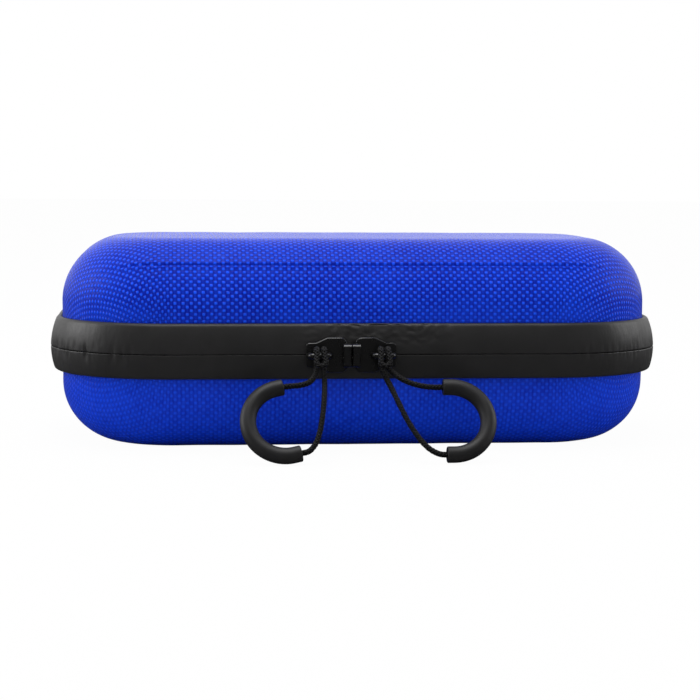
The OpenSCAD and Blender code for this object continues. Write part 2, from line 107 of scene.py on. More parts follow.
# %% Driving sizes of the case
corner_r = 43.5 * MM
lid_edge_r = 25.5 * MM
base_edge_r = 24 * MM
skin_t = 1.2 * MM
foam_t = 4 * MM
lining_t = 0.8 * MM
binding_t = 0.7 * MM
zip_h = 37.8 * MM
band_out = 4.6 * MM
band_bulge_r = 28 * MM
band_up = 11.6 * MM
band_down = 9.5 * MM
tape_t = 1.2 * MM
hem_r = 1.8 * MM
hinge_l = 120 * MM

base_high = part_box("base_fabric_skin")[1]
lid_low, lid_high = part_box("lid_fabric_skin")
corner_x = base_high[0] - corner_r
corner_y = base_high[1] - corner_r
base_rim = base_high[2]
lid_rim = lid_low[2]
case_h = lid_high[2]
wall_t = skin_t + foam_t + lining_t
bound_r = corner_r - wall_t - binding_t
print("corner centres at", round(corner_x / MM, 2), round(corner_y / MM, 2), "mm")

# %% [markdown]
# Colours are written as the sRGB hex values that an eye would pick from the real thing, and a shader wants
# linear light, so one function turns them. Another adds a node with its settings and links. It takes
# another node, a socket or a plain value for each input. Places are in metres, so a noise's scale counts its
# patches in one metre: a scale of 2000 makes a grain half a millimetre wide.

# %% Helpers for materials


def srgb(code):
    """Linear colour of an sRGB hex value."""
    channels = [int(code[i:i + 2], 16) / 255 for i in (1, 3, 5)]
    return tuple([c / 12.92 if c <= 0.04045 else ((c + 0.055) / 1.055) ** 2.4 for c in channels] + [1])


def fill(tree, node, inputs):
    """Fills a node's inputs, by name or number, with plain values, or links them to sockets or nodes."""
    for key, value in inputs.items():
        named = [s for s in node.inputs if s.enabled and s.name == key]
        socket = named[0] if named else node.inputs[key]
        if isinstance(value, bpy.types.Node):
            value = [s for s in value.outputs if s.enabled][0]
        if isinstance(value, bpy.types.NodeSocket):
            tree.links.new(value, socket)
        else:
            socket.default_value = value


def add(tree, kind, inputs, **settings):
    """Adds a shader node with its settings and links."""
    node = tree.nodes.new("ShaderNode" + kind)
    for name, value in settings.items():
        setattr(node, name, value)
    fill(tree, node, inputs)
    return node


def new_material(name):
    """An empty material, its node tree, the shader that it ends in, and the texture's place on the object."""
    material = bpy.data.materials.new(name)
    material.use_nodes = True
    tree = material.node_tree
    return material, tree, tree.nodes["Principled BSDF"], add(tree, "TexCoord", {}).outputs["Object"]

# %% [markdown]
# Each pull is a cord loop that is tied to the slider's bar with a cow hitch. The cord leaves one end of the
# finger grip, goes up behind the bar and down in front of it, lies across both hanging ends, and goes up and
# over the bar again on its way to the grip's other end. The case rests on a table, so the grips nearly touch
# it and lean out a little. The routes are the points that the cord's solids follow, in the pull's own leaning
# plane: along the case, down from the bar, and out of the plane.

# %% Routes of the two pull cords
cord_d = 2.4 * MM
grip_d = 6.1 * MM
grip_r = 13.5 * MM
grip_end_l = 2.8 * MM
socket_l = 3 * MM
cord_turn_r = 2.6 * MM
hitch_half = 1.35 * MM
bight_r = 1.7 * MM
bight_drop = 3.6 * MM
table_gap = 0.3 * MM
pull_lean = math.radians(30)
bar_y = -69.3 * MM
grip_drop = (zip_h - grip_d / 2 - table_gap) / math.cos(pull_lean) - grip_r

pulls = {
    "left": {
        "bar_x": -18 * MM, "grip_side": -14 * MM, "turn": math.radians(193), "upper_end": -1,
        "upper": [(-1.4, 3.8, -2.1), (-2.2, 7.4, -1), (-4.3, 10.3, -0.3), (-7.6, 11.7, 0), (-11.4, 12.1, 0)],
        "lower": [(1.35, 3.8, -2.1), (1.3, 9, -1), (1, 15, -0.3), (0.4, 21, 0), (-0.4, 26.4, 0),
                  (-1.4, 31, 0), (-2.9, 35, 0), (-5.3, 37.9, 0)],
    },
    "right": {
        "bar_x": 6 * MM, "grip_side": 24 * MM, "turn": 0, "upper_end": 1,
        "upper": [(1.6, 3.8, -2.1), (4.4, 7.6, -1), (8.4, 10.5, -0.3), (13.2, 12.2, 0), (18, 12.8, 0)],
        "lower": [(-1.1, 3.8, -2.1), (0.2, 8, -1.2), (2.4, 13.6, -0.5), (4.8, 20, 0), (7.6, 26.6, 0),
                  (11.2, 33, 0), (14.6, 37.2, 0), (18.2, 39.4, 0)],
    },
}


def pull_matrix(pull):
    """Takes the pull's own plane to its place on the bar."""
    place = Matrix.Translation((pull["bar_x"], bar_y, zip_h))
    return place @ Matrix.Rotation(math.radians(90) - pull_lean, 4, "X")


def grip_matrix(pull):
    """Takes the grip's own half circle, open towards -X, to its place in the pull's plane."""
    return (pull_matrix(pull) @ Matrix.Translation((pull["grip_side"], -grip_drop, 0))
            @ Matrix.Rotation(pull["turn"], 4, "Z"))


def cord_route(pull):
    """Points of the cord from the bottom of one socket to the bottom of the other."""
    plane, grip = pull_matrix(pull), grip_matrix(pull)
    side = pull["upper_end"]
    route = [grip @ Vector((depth - grip_end_l, side * grip_r, 0)) for depth in (socket_l, 0)]
    route += [plane @ (Vector((along, -down, out)) * MM) for along, down, out in reversed(pull["upper"])]
    angles = [math.radians(degrees) for degrees in range(0, 181, 30)]
    turn = [(cord_turn_r * math.sin(a), cord_turn_r * math.cos(a)) for a in angles]
    route += [plane @ Vector((side * hitch_half, rise, out)) for rise, out in reversed(turn)]
    route += [plane @ Vector((side * bight_r * math.cos(a), -bight_drop - bight_r * math.sin(a), cord_turn_r))
              for a in angles]
    route += [plane @ Vector((-side * hitch_half, rise, out)) for rise, out in turn]
    route += [plane @ (Vector((along, -down, out)) * MM) for along, down, out in pull["lower"]]
    return route + [grip @ Vector((depth - grip_end_l, -side * grip_r, 0)) for depth in (0, socket_l)]


for side, pull in pulls.items():
    pull["route"] = cord_route(pull)
    print(side, "cord has", len(pull["route"]), "route points")


# %% [markdown]
# Every piece ends in the same way: its mesh gets an object at the origin, smooth shading, a material, and the
# body it moves with, and the plain solids that it stands for are hidden. Three more helpers round edges, lay a
# texture out, and add a modifier.

# %% Helpers that finish a piece


def finish_piece(name, mesh, material, body, replaces=(), smooth=True):
    """Makes the mesh a piece of the case and returns its object."""
    if isinstance(mesh, bmesh.types.BMesh):
        data = bpy.data.meshes.new(name)
        mesh.to_mesh(data)
        mesh.free()
        mesh = data
    mesh.name = name
    mesh.materials.clear()
    mesh.materials.append(material)
    mesh.polygons.foreach_set("use_smooth", [smooth] * len(mesh.polygons))
    piece = put(name, mesh)
    if body:
        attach(piece, body)
    if replaces:
        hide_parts(*replaces)
    print(name, "has", len(mesh.polygons), "faces")
    return piece


def round_edges(bm, edges, width, segments, clamp=False):
    """Bevels edges to a round."""
    bmesh.ops.bevel(bm, geom=edges, offset=width, offset_type="OFFSET", segments=segments, profile=0.5,
                    affect="EDGES", material=-1, clamp_overlap=clamp)


def lay_texture(bm, place):
    """Texture coordinates from a function of each vertex's place."""
    layer = bm.loops.layers.uv.new("UVMap")
    for face in bm.faces:
        for loop in face.loops:
            loop[layer].uv = place(loop.vert.co)


def modifier(piece, kind, **settings):
    """Adds a modifier with its settings."""
    made = piece.modifiers.new(kind.title(), kind)
    for name, value in settings.items():
        setattr(made, name, value)
    return made

# %% [markdown]
# The pull cord is a round braid of eight polyester yarns: four wind to the left and four to the right, and
# each goes over one and under the next. Drawn as one smooth tube it would look like wire, so every yarn is a
# thin tube of its own. Its way round the cord comes from two angles: how far it has wound, and how high it
# lies at that place. Black polyester has a soft grey shine along its fibres.

# %% Material: braided polyester cord


def braided_polyester():
    """Black yarn, matt, with fine fibres and a soft grey shine at its edges."""
    material, tree, shader, place = new_material("braided_polyester")
    fibre = add(tree, "TexNoise", {"Vector": place, "Scale": 2600, "Detail": 2})
    tint = add(tree, "Mix", {"Factor": fibre, "A": srgb("#040405"), "B": srgb("#101012")}, data_type="RGBA")
    bump = add(tree, "Bump", {"Height": fibre, "Distance": 0.05 * MM, "Strength": 0.5})
    fill(tree, shader, {
        "Base Color": tint, "Normal": bump, "Roughness": 0.6, "Specular IOR Level": 0.3, "Sheen Weight": 0.06,
        "Sheen Roughness": 0.3,
    })
    return material


# %% Smooth path through a cord's points


def smooth_path(points, per_span):
    """Evenly many points on each span of a smooth curve through the given points."""
    path = []
    for i in range(len(points) - 1):
        before = points[max(i - 1, 0)]
        after = points[min(i + 2, len(points) - 1)]
        first = points[i] + (points[i + 1] - before) / 6
        second = points[i + 1] - (after - points[i]) / 6
        span = geometry.interpolate_bezier(points[i], first, second, points[i + 1], per_span + 1)
        path.extend(span[:-1])
    return path + [points[-1]]


def path_lengths(path):
    """How far along the path each of its points lies."""
    lengths = [0.0]
    for before, after in zip(path, path[1:]):
        lengths.append(lengths[-1] + (after - before).length)
    return lengths


def tubes(name, paths, radius, sides=3):
    """Mesh of round tubes along paths. sides is the count of faces over a quarter of a tube."""
    curve = bpy.data.curves.new(name, "CURVE")
    curve.dimensions = "3D"
    curve.bevel_depth = radius
    curve.bevel_resolution = sides - 2
    curve.use_fill_caps = True
    for path in paths:
        spline = curve.splines.new("POLY")
        spline.points.add(len(path) - 1)
        for point, place in zip(spline.points, path):
            point.co = (*place, 1)
    holder = bpy.data.objects.new(name, curve)
    mesh = bpy.data.meshes.new_from_object(holder)
    bpy.data.objects.remove(holder)
    bpy.data.curves.remove(curve)
    return mesh

# %% Braided cords
yarn_r = 0.36 * MM
yarn_lift = 0.12 * MM
braid_pitch = 5 * MM
braid_r = cord_d / 2 - yarn_r - yarn_lift
yarns_each_way = 4


def braid(path):
    """Paths of the eight yarns that wind round a path, each over one and under the next."""
    lengths = path_lengths(path)
    yarns = [[] for _ in range(2 * yarns_each_way)]
    tangent = (path[1] - path[0]).normalized()
    normal = tangent.orthogonal().normalized()
    for i, place in enumerate(path):
        ahead = (path[min(i + 1, len(path) - 1)] - path[max(i - 1, 0)]).normalized()
        normal = (normal - normal.dot(ahead) * ahead).normalized()
        across = ahead.cross(normal)
        wound = 2 * math.pi * lengths[i] / braid_pitch
        for k in range(yarns_each_way):
            start = 2 * math.pi * k / yarns_each_way
            for way in (1, -1):
                angle = way * wound + start
                reach = braid_r + way * yarn_lift * math.cos(yarns_each_way * wound)
                spot = place + reach * (math.cos(angle) * normal + math.sin(angle) * across)
                yarns[k + (yarns_each_way if way < 0 else 0)].append(spot)
    return yarns


cord_material = braided_polyester()
for side, pull in pulls.items():
    path = smooth_path(pull["route"], 10)
    name = side + "_pull_cord"
    cord = finish_piece("braided_" + name, tubes(name, braid(path) + [path], yarn_r), cord_material,
                        side + "_pull", [name])

# %% [markdown]
# A picture of one product on white needs only a pale floor and large soft lamps. To the camera the floor and
# the world look white, whatever light falls on them. A photographer puts black cards in front of a black
# piece, so that it mirrors something dark. Here the room in front and the floor are dark in mirrored light
# alone, and the backdrop stays white. The main lamp hangs over the case, like a small studio's ceiling bank.

# %% Floor
floor_whiteness = 0.972
floor_bm = bmesh.new()
bmesh.ops.create_grid(floor_bm, x_segments=1, y_segments=1, size=6)
floor_mesh = bpy.data.meshes.new("studio_floor")
floor_bm.to_mesh(floor_mesh)
floor_bm.free()
floor_material, floor_tree, floor_shader, _ = new_material("pale_floor_paint")
floor_ray = add(floor_tree, "LightPath", {})
floor_paint = add(floor_tree, "Mix", {
    "Factor": floor_ray.outputs["Is Glossy Ray"], "A": srgb("#d2d2d2"), "B": srgb("#3c3c3c"),
}, data_type="RGBA")
fill(floor_tree, floor_shader, {"Base Color": floor_paint, "Roughness": 0.9, "Specular IOR Level": 0.1})
floor_white = add(floor_tree, "Emission", {"Color": (1, 1, 1, 1), "Strength": 1})
floor_share = add(floor_tree, "Math", {0: floor_ray.outputs["Is Camera Ray"], 1: floor_whiteness},
                  operation="MULTIPLY")
floor_mix = add(floor_tree, "MixShader", {0: floor_share, 1: floor_shader, 2: floor_white})
fill(floor_tree, floor_tree.nodes["Material Output"], {"Surface": floor_mix})
floor_mesh.materials.append(floor_material)
put("studio_floor", floor_mesh)

# %% World: white backdrop, dimmer room in front
room_level = 0.85
room_mirrored = 0.06
room_blend = 0.35
world = bpy.data.worlds.new("studio_world")
bpy.context.scene.world = world
world.use_nodes = True
world_tree = world.node_tree
way = add(world_tree, "TexCoord", {})
way_axes = add(world_tree, "SeparateXYZ", {0: way.outputs["Generated"]})
mirrored = add(world_tree, "MapRange", {
    "Value": way_axes.outputs["Y"], "From Min": -room_blend, "From Max": room_blend,
    "To Min": room_mirrored, "To Max": 1,
})
world_ray = add(world_tree, "LightPath", {})
seen = add(world_tree, "Math", {
    0: world_ray.outputs["Is Camera Ray"], 1: world_ray.outputs["Is Transmission Ray"],
}, operation="MAXIMUM")
unseen = add(world_tree, "Mix", {"Factor": world_ray.outputs["Is Glossy Ray"], "A": room_level, "B": mirrored},
             data_type="FLOAT")
world_level = add(world_tree, "Mix", {"Factor": seen, "A": unseen, "B": 1.0}, data_type="FLOAT")
fill(world_tree, world_tree.nodes["Background"], {"Color": (1, 1, 1, 1), "Strength": world_level})
bpy.context.scene.view_settings.view_transform = "Standard"

# %% Lamps


def soft_lamp(name, place, size, power):
    """Square lamp that shines from a place towards the case."""
    data = bpy.data.lights.new(name, "AREA")
    data.shape = "SQUARE"
    data.size = size
    data.energy = power
    lamp = put(name, data)
    turn = (Vector(place) - Vector((0, 0, zip_h))).to_track_quat("Z", "Y")
    lamp.matrix_world = Matrix.Translation(place) @ turn.to_matrix().to_4x4()
    print(name, power, "W")


soft_lamp("ceiling_bank", (-0.1, -0.15, 1.1), 0.75, 7)
soft_lamp("left_strip", (-1.0, 0.15, 0.45), 0.5, 4)
soft_lamp("right_strip", (1.0, 0.1, 0.45), 0.5, 2.5)

# %% [markdown]
# The case's skin is a coarse woven nylon, laminated to the foam and moulded with it. A flat cloth that is
# pressed into a corner shears: its threads stay one length, and they run down the corner at a slant. Laying
# the texture out in the same way gives that look for nothing. Each point of the cover is placed where it
# would lie on the flat cloth: as far from the flat top's edge as the curved way down is long. The weave's
# light and shade are painted into its colour: a painted highlight on each weft float and painted shade in the
# pits between. Where the cloth is drawn tight near the band, and on the pressed flat top, these painted dots
# are fainter and its relief is lower.

# %% Material: woven nylon
warp_gap = 1.54 * MM
weft_gap = 1.36 * MM
drawn_from = 53 * MM
drawn_to = 66 * MM
drawn_patches = 16 * MM
drawn_clear = 0.3
pressed_clear = 0.5
weave_sway = 0.9 * MM
weave_deep = 0.42 * MM
float_power = 0.65
under_level = 0.14
filament_rise = 0.12


def woven_nylon():
    """Plain weave of heavy yarns. Its weft floats show as staggered dots: painted highlight on the floats,
    painted shade in the pits.
    """
    material, tree, shader, place = new_material("woven_nylon")
    cloth = add(tree, "TexCoord", {}).outputs["UV"]
    sway = add(tree, "TexNoise", {"Vector": place, "Scale": 45, "Detail": 2})
    swayed = add(tree, "VectorMath", {0: sway.outputs["Color"], "Scale": weave_sway}, operation="SCALE")
    laid = add(tree, "VectorMath", {0: cloth, 1: swayed}, operation="ADD")
    threads = add(tree, "VectorMath", {0: laid, 1: (math.pi / warp_gap, math.pi / weft_gap, 0)},
                  operation="MULTIPLY")
    axes = add(tree, "SeparateXYZ", {0: threads})
    waves = [add(tree, "Math", {0: axes.outputs[axis]}, operation="SINE") for axis in ("X", "Y")]
    floats = add(tree, "Math", {0: waves[0], 1: waves[1]}, operation="MULTIPLY")
    column = add(tree, "Math", {0: waves[0]}, operation="ABSOLUTE")
    flank = add(tree, "Math", {0: floats}, operation="ABSOLUTE")
    pillow = add(tree, "Math", {0: flank, 1: float_power}, operation="POWER")
    level = add(tree, "MapRange", {
        "Value": floats, "From Min": -0.1, "From Max": 0.1, "To Min": under_level, "To Max": 1,
    })
    yarns = add(tree, "Math", {0: pillow, 1: level}, operation="MULTIPLY")
    fine = add(tree, "VectorMath", {0: laid, 1: (800, 5000, 0)}, operation="MULTIPLY")
    filament = add(tree, "TexNoise", {"Vector": fine, "Scale": 1, "Detail": 2})
    height = add(tree, "Math", {0: filament, 1: filament_rise, 2: yarns}, operation="MULTIPLY_ADD")
    standing = add(tree, "SeparateXYZ", {0: place})
    worn = add(tree, "TexNoise", {"Vector": place, "Scale": 28, "Detail": 2})
    uneven_z = add(tree, "Math", {0: worn, 1: drawn_patches, 2: standing.outputs["Z"]}, operation="MULTIPLY_ADD")
    drawn = add(tree, "MapRange", {
        "Value": uneven_z, "From Min": drawn_from, "From Max": drawn_to, "To Min": drawn_clear, "To Max": 1,
    })
    pressed = add(tree, "MapRange", {
        "Value": standing.outputs["Z"], "From Min": case_h - 1.3 * MM, "From Max": case_h - 0.2 * MM,
        "To Min": 1, "To Max": pressed_clear,
    })
    clear = add(tree, "Math", {0: drawn, 1: pressed}, operation="MULTIPLY")
    long_strokes = add(tree, "VectorMath", {0: laid, 1: (900, 260, 0)}, operation="MULTIPLY")
    strokes = add(tree, "TexNoise", {"Vector": long_strokes, "Scale": 1, "Detail": 2})
    # Painted highlight and shade: the colour is lighter on each weft float, darker in the pits, and a little
    # darker in the gaps between warp threads. Noise adds the yarn's own uneven tone.
    dots = add(tree, "MapRange", {"Value": yarns, "From Min": 0.15, "From Max": 0.85})
    painted_weave_light = add(tree, "Math", {0: dots, 1: 0.8, 2: -0.24}, operation="MULTIPLY_ADD")
    eased_painted_light = add(tree, "Math", {0: painted_weave_light, 1: clear}, operation="MULTIPLY")
    painted_light_and_gaps = add(tree, "Math", {0: column, 1: 0.1, 2: eased_painted_light}, operation="MULTIPLY_ADD")
    strokes_and_painted_light = add(tree, "Math", {0: strokes, 1: 0.45, 2: painted_light_and_gaps}, operation="MULTIPLY_ADD")
    tone_and_painted_light = add(tree, "Math", {0: sway, 1: 0.25, 2: strokes_and_painted_light}, operation="MULTIPLY_ADD")
    factor = add(tree, "Math", {0: tone_and_painted_light, 1: -0.02}, operation="ADD", use_clamp=True)
    # The tint runs from painted shade, dark navy, to painted highlight, bright blue, over the yarn's own blue.
    tint = add(tree, "Mix", {"Factor": factor, "A": srgb("#000c8a"), "B": srgb("#1652f6")}, data_type="RGBA")
    relief = add(tree, "Math", {0: clear, 1: height}, operation="MULTIPLY")
    bump = add(tree, "Bump", {"Height": relief, "Distance": weave_deep, "Strength": 1})
    rough = add(tree, "MapRange", {
        "Value": pressed, "From Min": pressed_clear, "From Max": 1, "To Min": 0.24, "To Max": 0.3,
    })
    fill(tree, shader, {
        "Base Color": tint, "Normal": bump, "Roughness": rough, "Specular IOR Level": 0.08,
        "Sheen Weight": 0.05, "Sheen Roughness": 0.15, "Sheen Tint": srgb("#a4b4ff"),
    })
    return material

# %% [markdown]
# Each layer of a shell has the same make: a short section, from the corner's centre line out to the rim, goes
# once round the case. Spin does both kinds of stretch: with an angle it turns the section about a corner, and
# with a step and no angle it pushes the section straight on. The flat middle is bridged from front to back.

# %% Helpers that carry a section round the case


def carry(bm, edges, moves):
    """Carries edges along moves, each (centre or step, degrees, count), and returns the last edges."""
    for way, degrees, count in moves:
        turning = degrees != 0
        made = bmesh.ops.spin(
            bm, geom=edges, cent=way if turning else (0, 0, 0), axis=(0, 0, 1),
            dvec=(0, 0, 0) if turning else Vector(way) / count,
            angle=math.radians(degrees), steps=count, use_merge=False, use_duplicate=False,
        )
        edges = [g for g in made["geom_last"] if isinstance(g, bmesh.types.BMEdge)]
    return edges


def round_moves(gap, straight_step, corner_steps):
    """Moves once round the case, clockwise from above, starting and ending at the gap in the back's middle."""
    def count(length):
        return max(1, round(length / straight_step))
    back = corner_x - gap / 2
    side = 2 * corner_y
    moves = [((back, 0, 0), 0, count(back)), ((corner_x, corner_y, 0), -90, corner_steps)]
    moves += [((0, -side, 0), 0, count(side)), ((corner_x, -corner_y, 0), -90, corner_steps)]
    moves += [((-2 * corner_x, 0, 0), 0, count(2 * corner_x)), ((-corner_x, -corner_y, 0), -90, corner_steps)]
    moves += [((0, side, 0), 0, count(side)), ((-corner_x, corner_y, 0), -90, corner_steps)]
    return moves + [((back, 0, 0), 0, count(back))]


def standing_section(bm, outline, start_x, closed):
    """Draws a section at the back: pairs of distance out from the corners' centre line, and height."""
    verts = [bm.verts.new((start_x, corner_y + out, height)) for out, height in outline]
    pairs = list(zip(verts, verts[1:])) + ([(verts[-1], verts[0])] if closed else [])
    return [bm.edges.new(pair) for pair in pairs]


def pan_outline(edge_r, inset, depth, flat_steps, arc_steps, wall_steps):
    """Half section of a pan: distance out, and depth from the closed face."""
    flat = corner_r - edge_r
    outline = [(flat * i / flat_steps, inset) for i in range(flat_steps)]
    for i in range(arc_steps + 1):
        a = math.pi / 2 * i / arc_steps
        reach = edge_r - inset
        outline.append((flat + reach * math.sin(a), edge_r - reach * math.cos(a)))
    rest = depth - edge_r
    return outline + [(corner_r - inset, edge_r + rest * i / wall_steps) for i in range(1, wall_steps + 1)]


def pan(outline, closed_z, side, straight_step, corner_steps):
    """Mesh of a pan with its closed face at closed_z. side is 1 if it opens up and -1 if it opens down."""
    bm = bmesh.new()
    section = [(out, closed_z + side * depth) for out, depth in outline]
    edges = standing_section(bm, section, 0, False)
    carry(bm, edges, round_moves(0, straight_step, corner_steps))
    bmesh.ops.remove_doubles(bm, verts=bm.verts, dist=0.02 * MM)
    inner_z = section[0][1]
    rails = []
    for way in (1, -1):
        rails += [e for e in bm.edges if e.is_boundary and all(
            abs(v.co.z - inner_z) < 1e-6 and abs(v.co.y - way * corner_y) < 1e-6 and abs(v.co.x) < corner_x + 1e-6
            for v in e.verts)]
    made = bmesh.ops.bridge_loops(bm, edges=rails)
    cross = [e for e in made["edges"] if abs(e.verts[0].co.y - e.verts[1].co.y) > corner_y]
    side_steps = max(1, round(2 * corner_y / straight_step))
    bmesh.ops.subdivide_edges(bm, edges=cross, cuts=side_steps - 1, use_grid_fill=True)
    bmesh.ops.remove_doubles(bm, verts=bm.verts, dist=0.02 * MM)
    bmesh.ops.recalc_face_normals(bm, faces=bm.faces)
    top = max(bm.faces, key=lambda f: -side * f.calc_center_median().z)
    if top.normal.z * side > 0:
        bmesh.ops.reverse_faces(bm, faces=bm.faces)
    return bm

# %% Helpers that lay flat cloth over a shell


def outward(x, y):
    """Nearest point on the rectangle of corner centres, the direction out from it, and the distance."""
    centre = Vector((max(-corner_x, min(corner_x, x)), max(-corner_y, min(corner_y, y)), 0))
    away = Vector((x, y, 0)) - centre
    return centre, away.normalized() if away.length > 1e-9 else Vector((0, 0, 0)), away.length


def cloth_place(point, closed_z, edge_r):
    """Where a point of a shell lies on the flat cloth that was pressed over it."""
    centre, away, reach = outward(point.x, point.y)
    depth = abs(point.z - closed_z)
    flat = corner_r - edge_r
    if reach <= flat:
        way = reach
    elif depth < edge_r:
        way = flat + edge_r * math.atan2(reach - flat, edge_r - depth)
    else:
        way = flat + edge_r * math.pi / 2 + depth - edge_r
    return (centre + away * way).xy


def uneven(bm, amount, wave):
    """Moves a surface in and out a little, as soft layers never come out of the mould quite true."""
    bm.normal_update()
    for vert in bm.verts:
        vert.co += vert.normal * amount * noise.noise(vert.co / wave)

# %% [markdown]
# The two covers are the same fabric. The lid's has a moulded crease along its shoulder: the rows are bunched
# there between two low ridges, and it sinks and fades away at the corners. It is pressed into the finished pan,
# whose section has closer points at that place.

# %% Fabric covers
crease_at = math.radians(51.4)
crease_deep = 0.34 * MM
crease_half = 0.42 * MM
ridge_high = 0.3 * MM
ridge_off = 1.15 * MM
crease_sinks = math.radians(15)
cover_step = 2.5 * MM
cover_t = 1 * MM
corner_count = 28
cover_sway = 0.12 * MM
cover_wave = 14 * MM
shoulder = corner_r - lid_edge_r


def crease(bm):
    """Presses the crease into the lid's cover."""
    for vert in bm.verts:
        _, away, reach = outward(vert.co.x, vert.co.y)
        depth = case_h - vert.co.z
        if reach > shoulder and depth < lid_edge_r:
            angle = math.atan2(reach - shoulder, lid_edge_r - depth)
            straight = max(0, min(1, (abs(away.y) - 0.55) / 0.45))
            straight = straight * straight * (3 - 2 * straight)
            off = (angle - crease_at - crease_sinks * (1 - straight)) * lid_edge_r
            dip = crease_deep * math.exp(-(off / crease_half) ** 2)
            dip -= ridge_high * math.exp(-((abs(off) - ridge_off) / crease_half) ** 2)
            vert.co -= (away * math.sin(angle) + Vector((0, 0, math.cos(angle)))) * dip * straight


case_fabric = woven_nylon()

lid_outline = []
for i, (out, depth) in enumerate(pan_outline(lid_edge_r, 0, case_h - lid_rim, 9, 150, 6)):
    angle = math.atan2(out - shoulder, lid_edge_r - depth) if out > shoulder and depth < lid_edge_r else 0
    if angle == 0 or i % 4 == 0 or crease_at - math.radians(5) < angle < crease_at + crease_sinks:
        lid_outline.append((out, depth))
lid_bm = pan(lid_outline, case_h, -1, cover_step, corner_count)
lay_texture(lid_bm, lambda co: cloth_place(co, case_h, lid_edge_r))
crease(lid_bm)
uneven(lid_bm, cover_sway, cover_wave)
lid_cover = finish_piece("lid_cover", lid_bm, case_fabric, "lid", ["lid_fabric_skin"])
modifier(lid_cover, "SOLIDIFY", thickness=cover_t, offset=-1)

base_bm = pan(pan_outline(base_edge_r, 0, base_rim, 9, 38, 3), 0, 1, cover_step, corner_count)
lay_texture(base_bm, lambda co: cloth_place(co, 0, base_edge_r))
uneven(base_bm, cover_sway, cover_wave)
for vert in base_bm.verts:
    vert.co.z = max(vert.co.z, 0)
base_cover = finish_piece("base_cover", base_bm, case_fabric, "base", ["base_fabric_skin"])
modifier(base_cover, "SOLIDIFY", thickness=cover_t, offset=-1)

# %% [markdown]
# The zipper tape is woven polyester with a black polyurethane film, so rain runs off it. The film is smooth
# and satin, with a fine grain, and where the tape goes round a corner it gathers in short upright wrinkles.
# Wrinkles catch the light along their edges, so they are in the mesh, and only the grain is bump.

# %% Material: polyurethane-coated tape


def coated_tape():
    """Black film over cloth, satin, with a fine grain and faint streaks where it was drawn tight."""
    material, tree, shader, place = new_material("coated_tape")
    grain = add(tree, "TexNoise", {"Vector": place, "Scale": 1800, "Detail": 3})
    drawn = add(tree, "Mapping", {"Vector": place, "Scale": (1, 1, 0.12)})
    streak = add(tree, "TexNoise", {"Vector": drawn, "Scale": 420, "Detail": 3, "Roughness": 0.6})
    patch = add(tree, "TexNoise", {"Vector": place, "Scale": 70, "Detail": 2})
    tint = add(tree, "Mix", {"Factor": patch, "A": srgb("#191919"), "B": srgb("#252425")}, data_type="RGBA")
    rough = add(tree, "MapRange", {"Value": streak, "To Min": 0.36, "To Max": 0.54})
    fine = add(tree, "Bump", {"Height": grain, "Distance": 0.02 * MM, "Strength": 0.6})
    bump = add(tree, "Bump", {"Height": streak, "Distance": 0.15 * MM, "Strength": 0.8, "Normal": fine})
    fill(tree, shader, {"Base Color": tint, "Roughness": rough, "Normal": bump, "Specular IOR Level": 0.4})
    return material

# %% Tape section


def band_x(height, depth):
    """Distance out of the bulged band, at a height over the zip line and a depth under its face."""
    return corner_r + band_out - band_bulge_r + math.sqrt((band_bulge_r - depth) ** 2 - height ** 2)


def arc_points(x, y, radius, start, end, steps):
    """Points on an arc, in degrees."""
    return [(x + radius * math.cos(math.radians(start + (end - start) * i / steps)),
             y + radius * math.sin(math.radians(start + (end - start) * i / steps))) for i in range(steps + 1)]


rim_reach = lid_rim - zip_h
lip_at = 0.1 * MM
lip_r = 0.3 * MM


def band_half(reach):
    """Upper half of the band's section, from the slit's lip over the bulge and the hem to the foot and back."""
    hem_y = reach - hem_r
    hem_x = band_x(hem_y, hem_r)
    turn = math.degrees(math.atan2(hem_y, hem_x - (corner_r + band_out - band_bulge_r)))
    lip_y = lip_at + lip_r
    outline = [(band_x(lip_at, tape_t), lip_at + 0.1 * MM)]
    outline += arc_points(band_x(lip_y, lip_r), lip_y, lip_r, -90, 0, 4)
    for i in range(1, 17):
        h = lip_y + (hem_y - lip_y) * (i / 16) ** 1.2
        outline.append((band_x(h, 0), h))
    outline += arc_points(hem_x, hem_y, hem_r, turn, 90, 5)
    outline += [(corner_r, reach - 0.4 * MM), (corner_r - 0.1 * MM, reach - 1.5 * MM), (corner_r, rim_reach)]
    for i in range(6):
        h = rim_reach - 0.5 * MM + (lip_y - rim_reach + 0.5 * MM) * i / 5
        outline.append((band_x(h, tape_t), h))
    return outline[:-1]

# %% Zipper tapes
pleat_deep = 0.6 * MM
pleat_gap = 1.3 * MM
pleat_reach = 3 * MM
crumple_deep = 0.6 * MM
crumple_half = 34 * MM
slider_meet_x = -6 * MM
slit_open = 0.5 * MM
slit_open_half = 17 * MM
slit_reach = 3 * MM
swell_deep = 0.22 * MM
swell_wave = 11 * MM
crumple_x = 4 * MM
crumple_from = 1.5 * MM
crumple_rise = 4 * MM
crumple_wave = 3.4 * MM
band_step = 0.9 * MM


def closed_band(outline, start_x, moves):
    """Band with both ends closed: its section carried along moves."""
    bm = bmesh.new()
    first = standing_section(bm, outline, start_x, True)
    last = carry(bm, first, moves)
    bmesh.ops.edgenet_fill(bm, edges=first)
    bmesh.ops.edgenet_fill(bm, edges=last)
    return bm


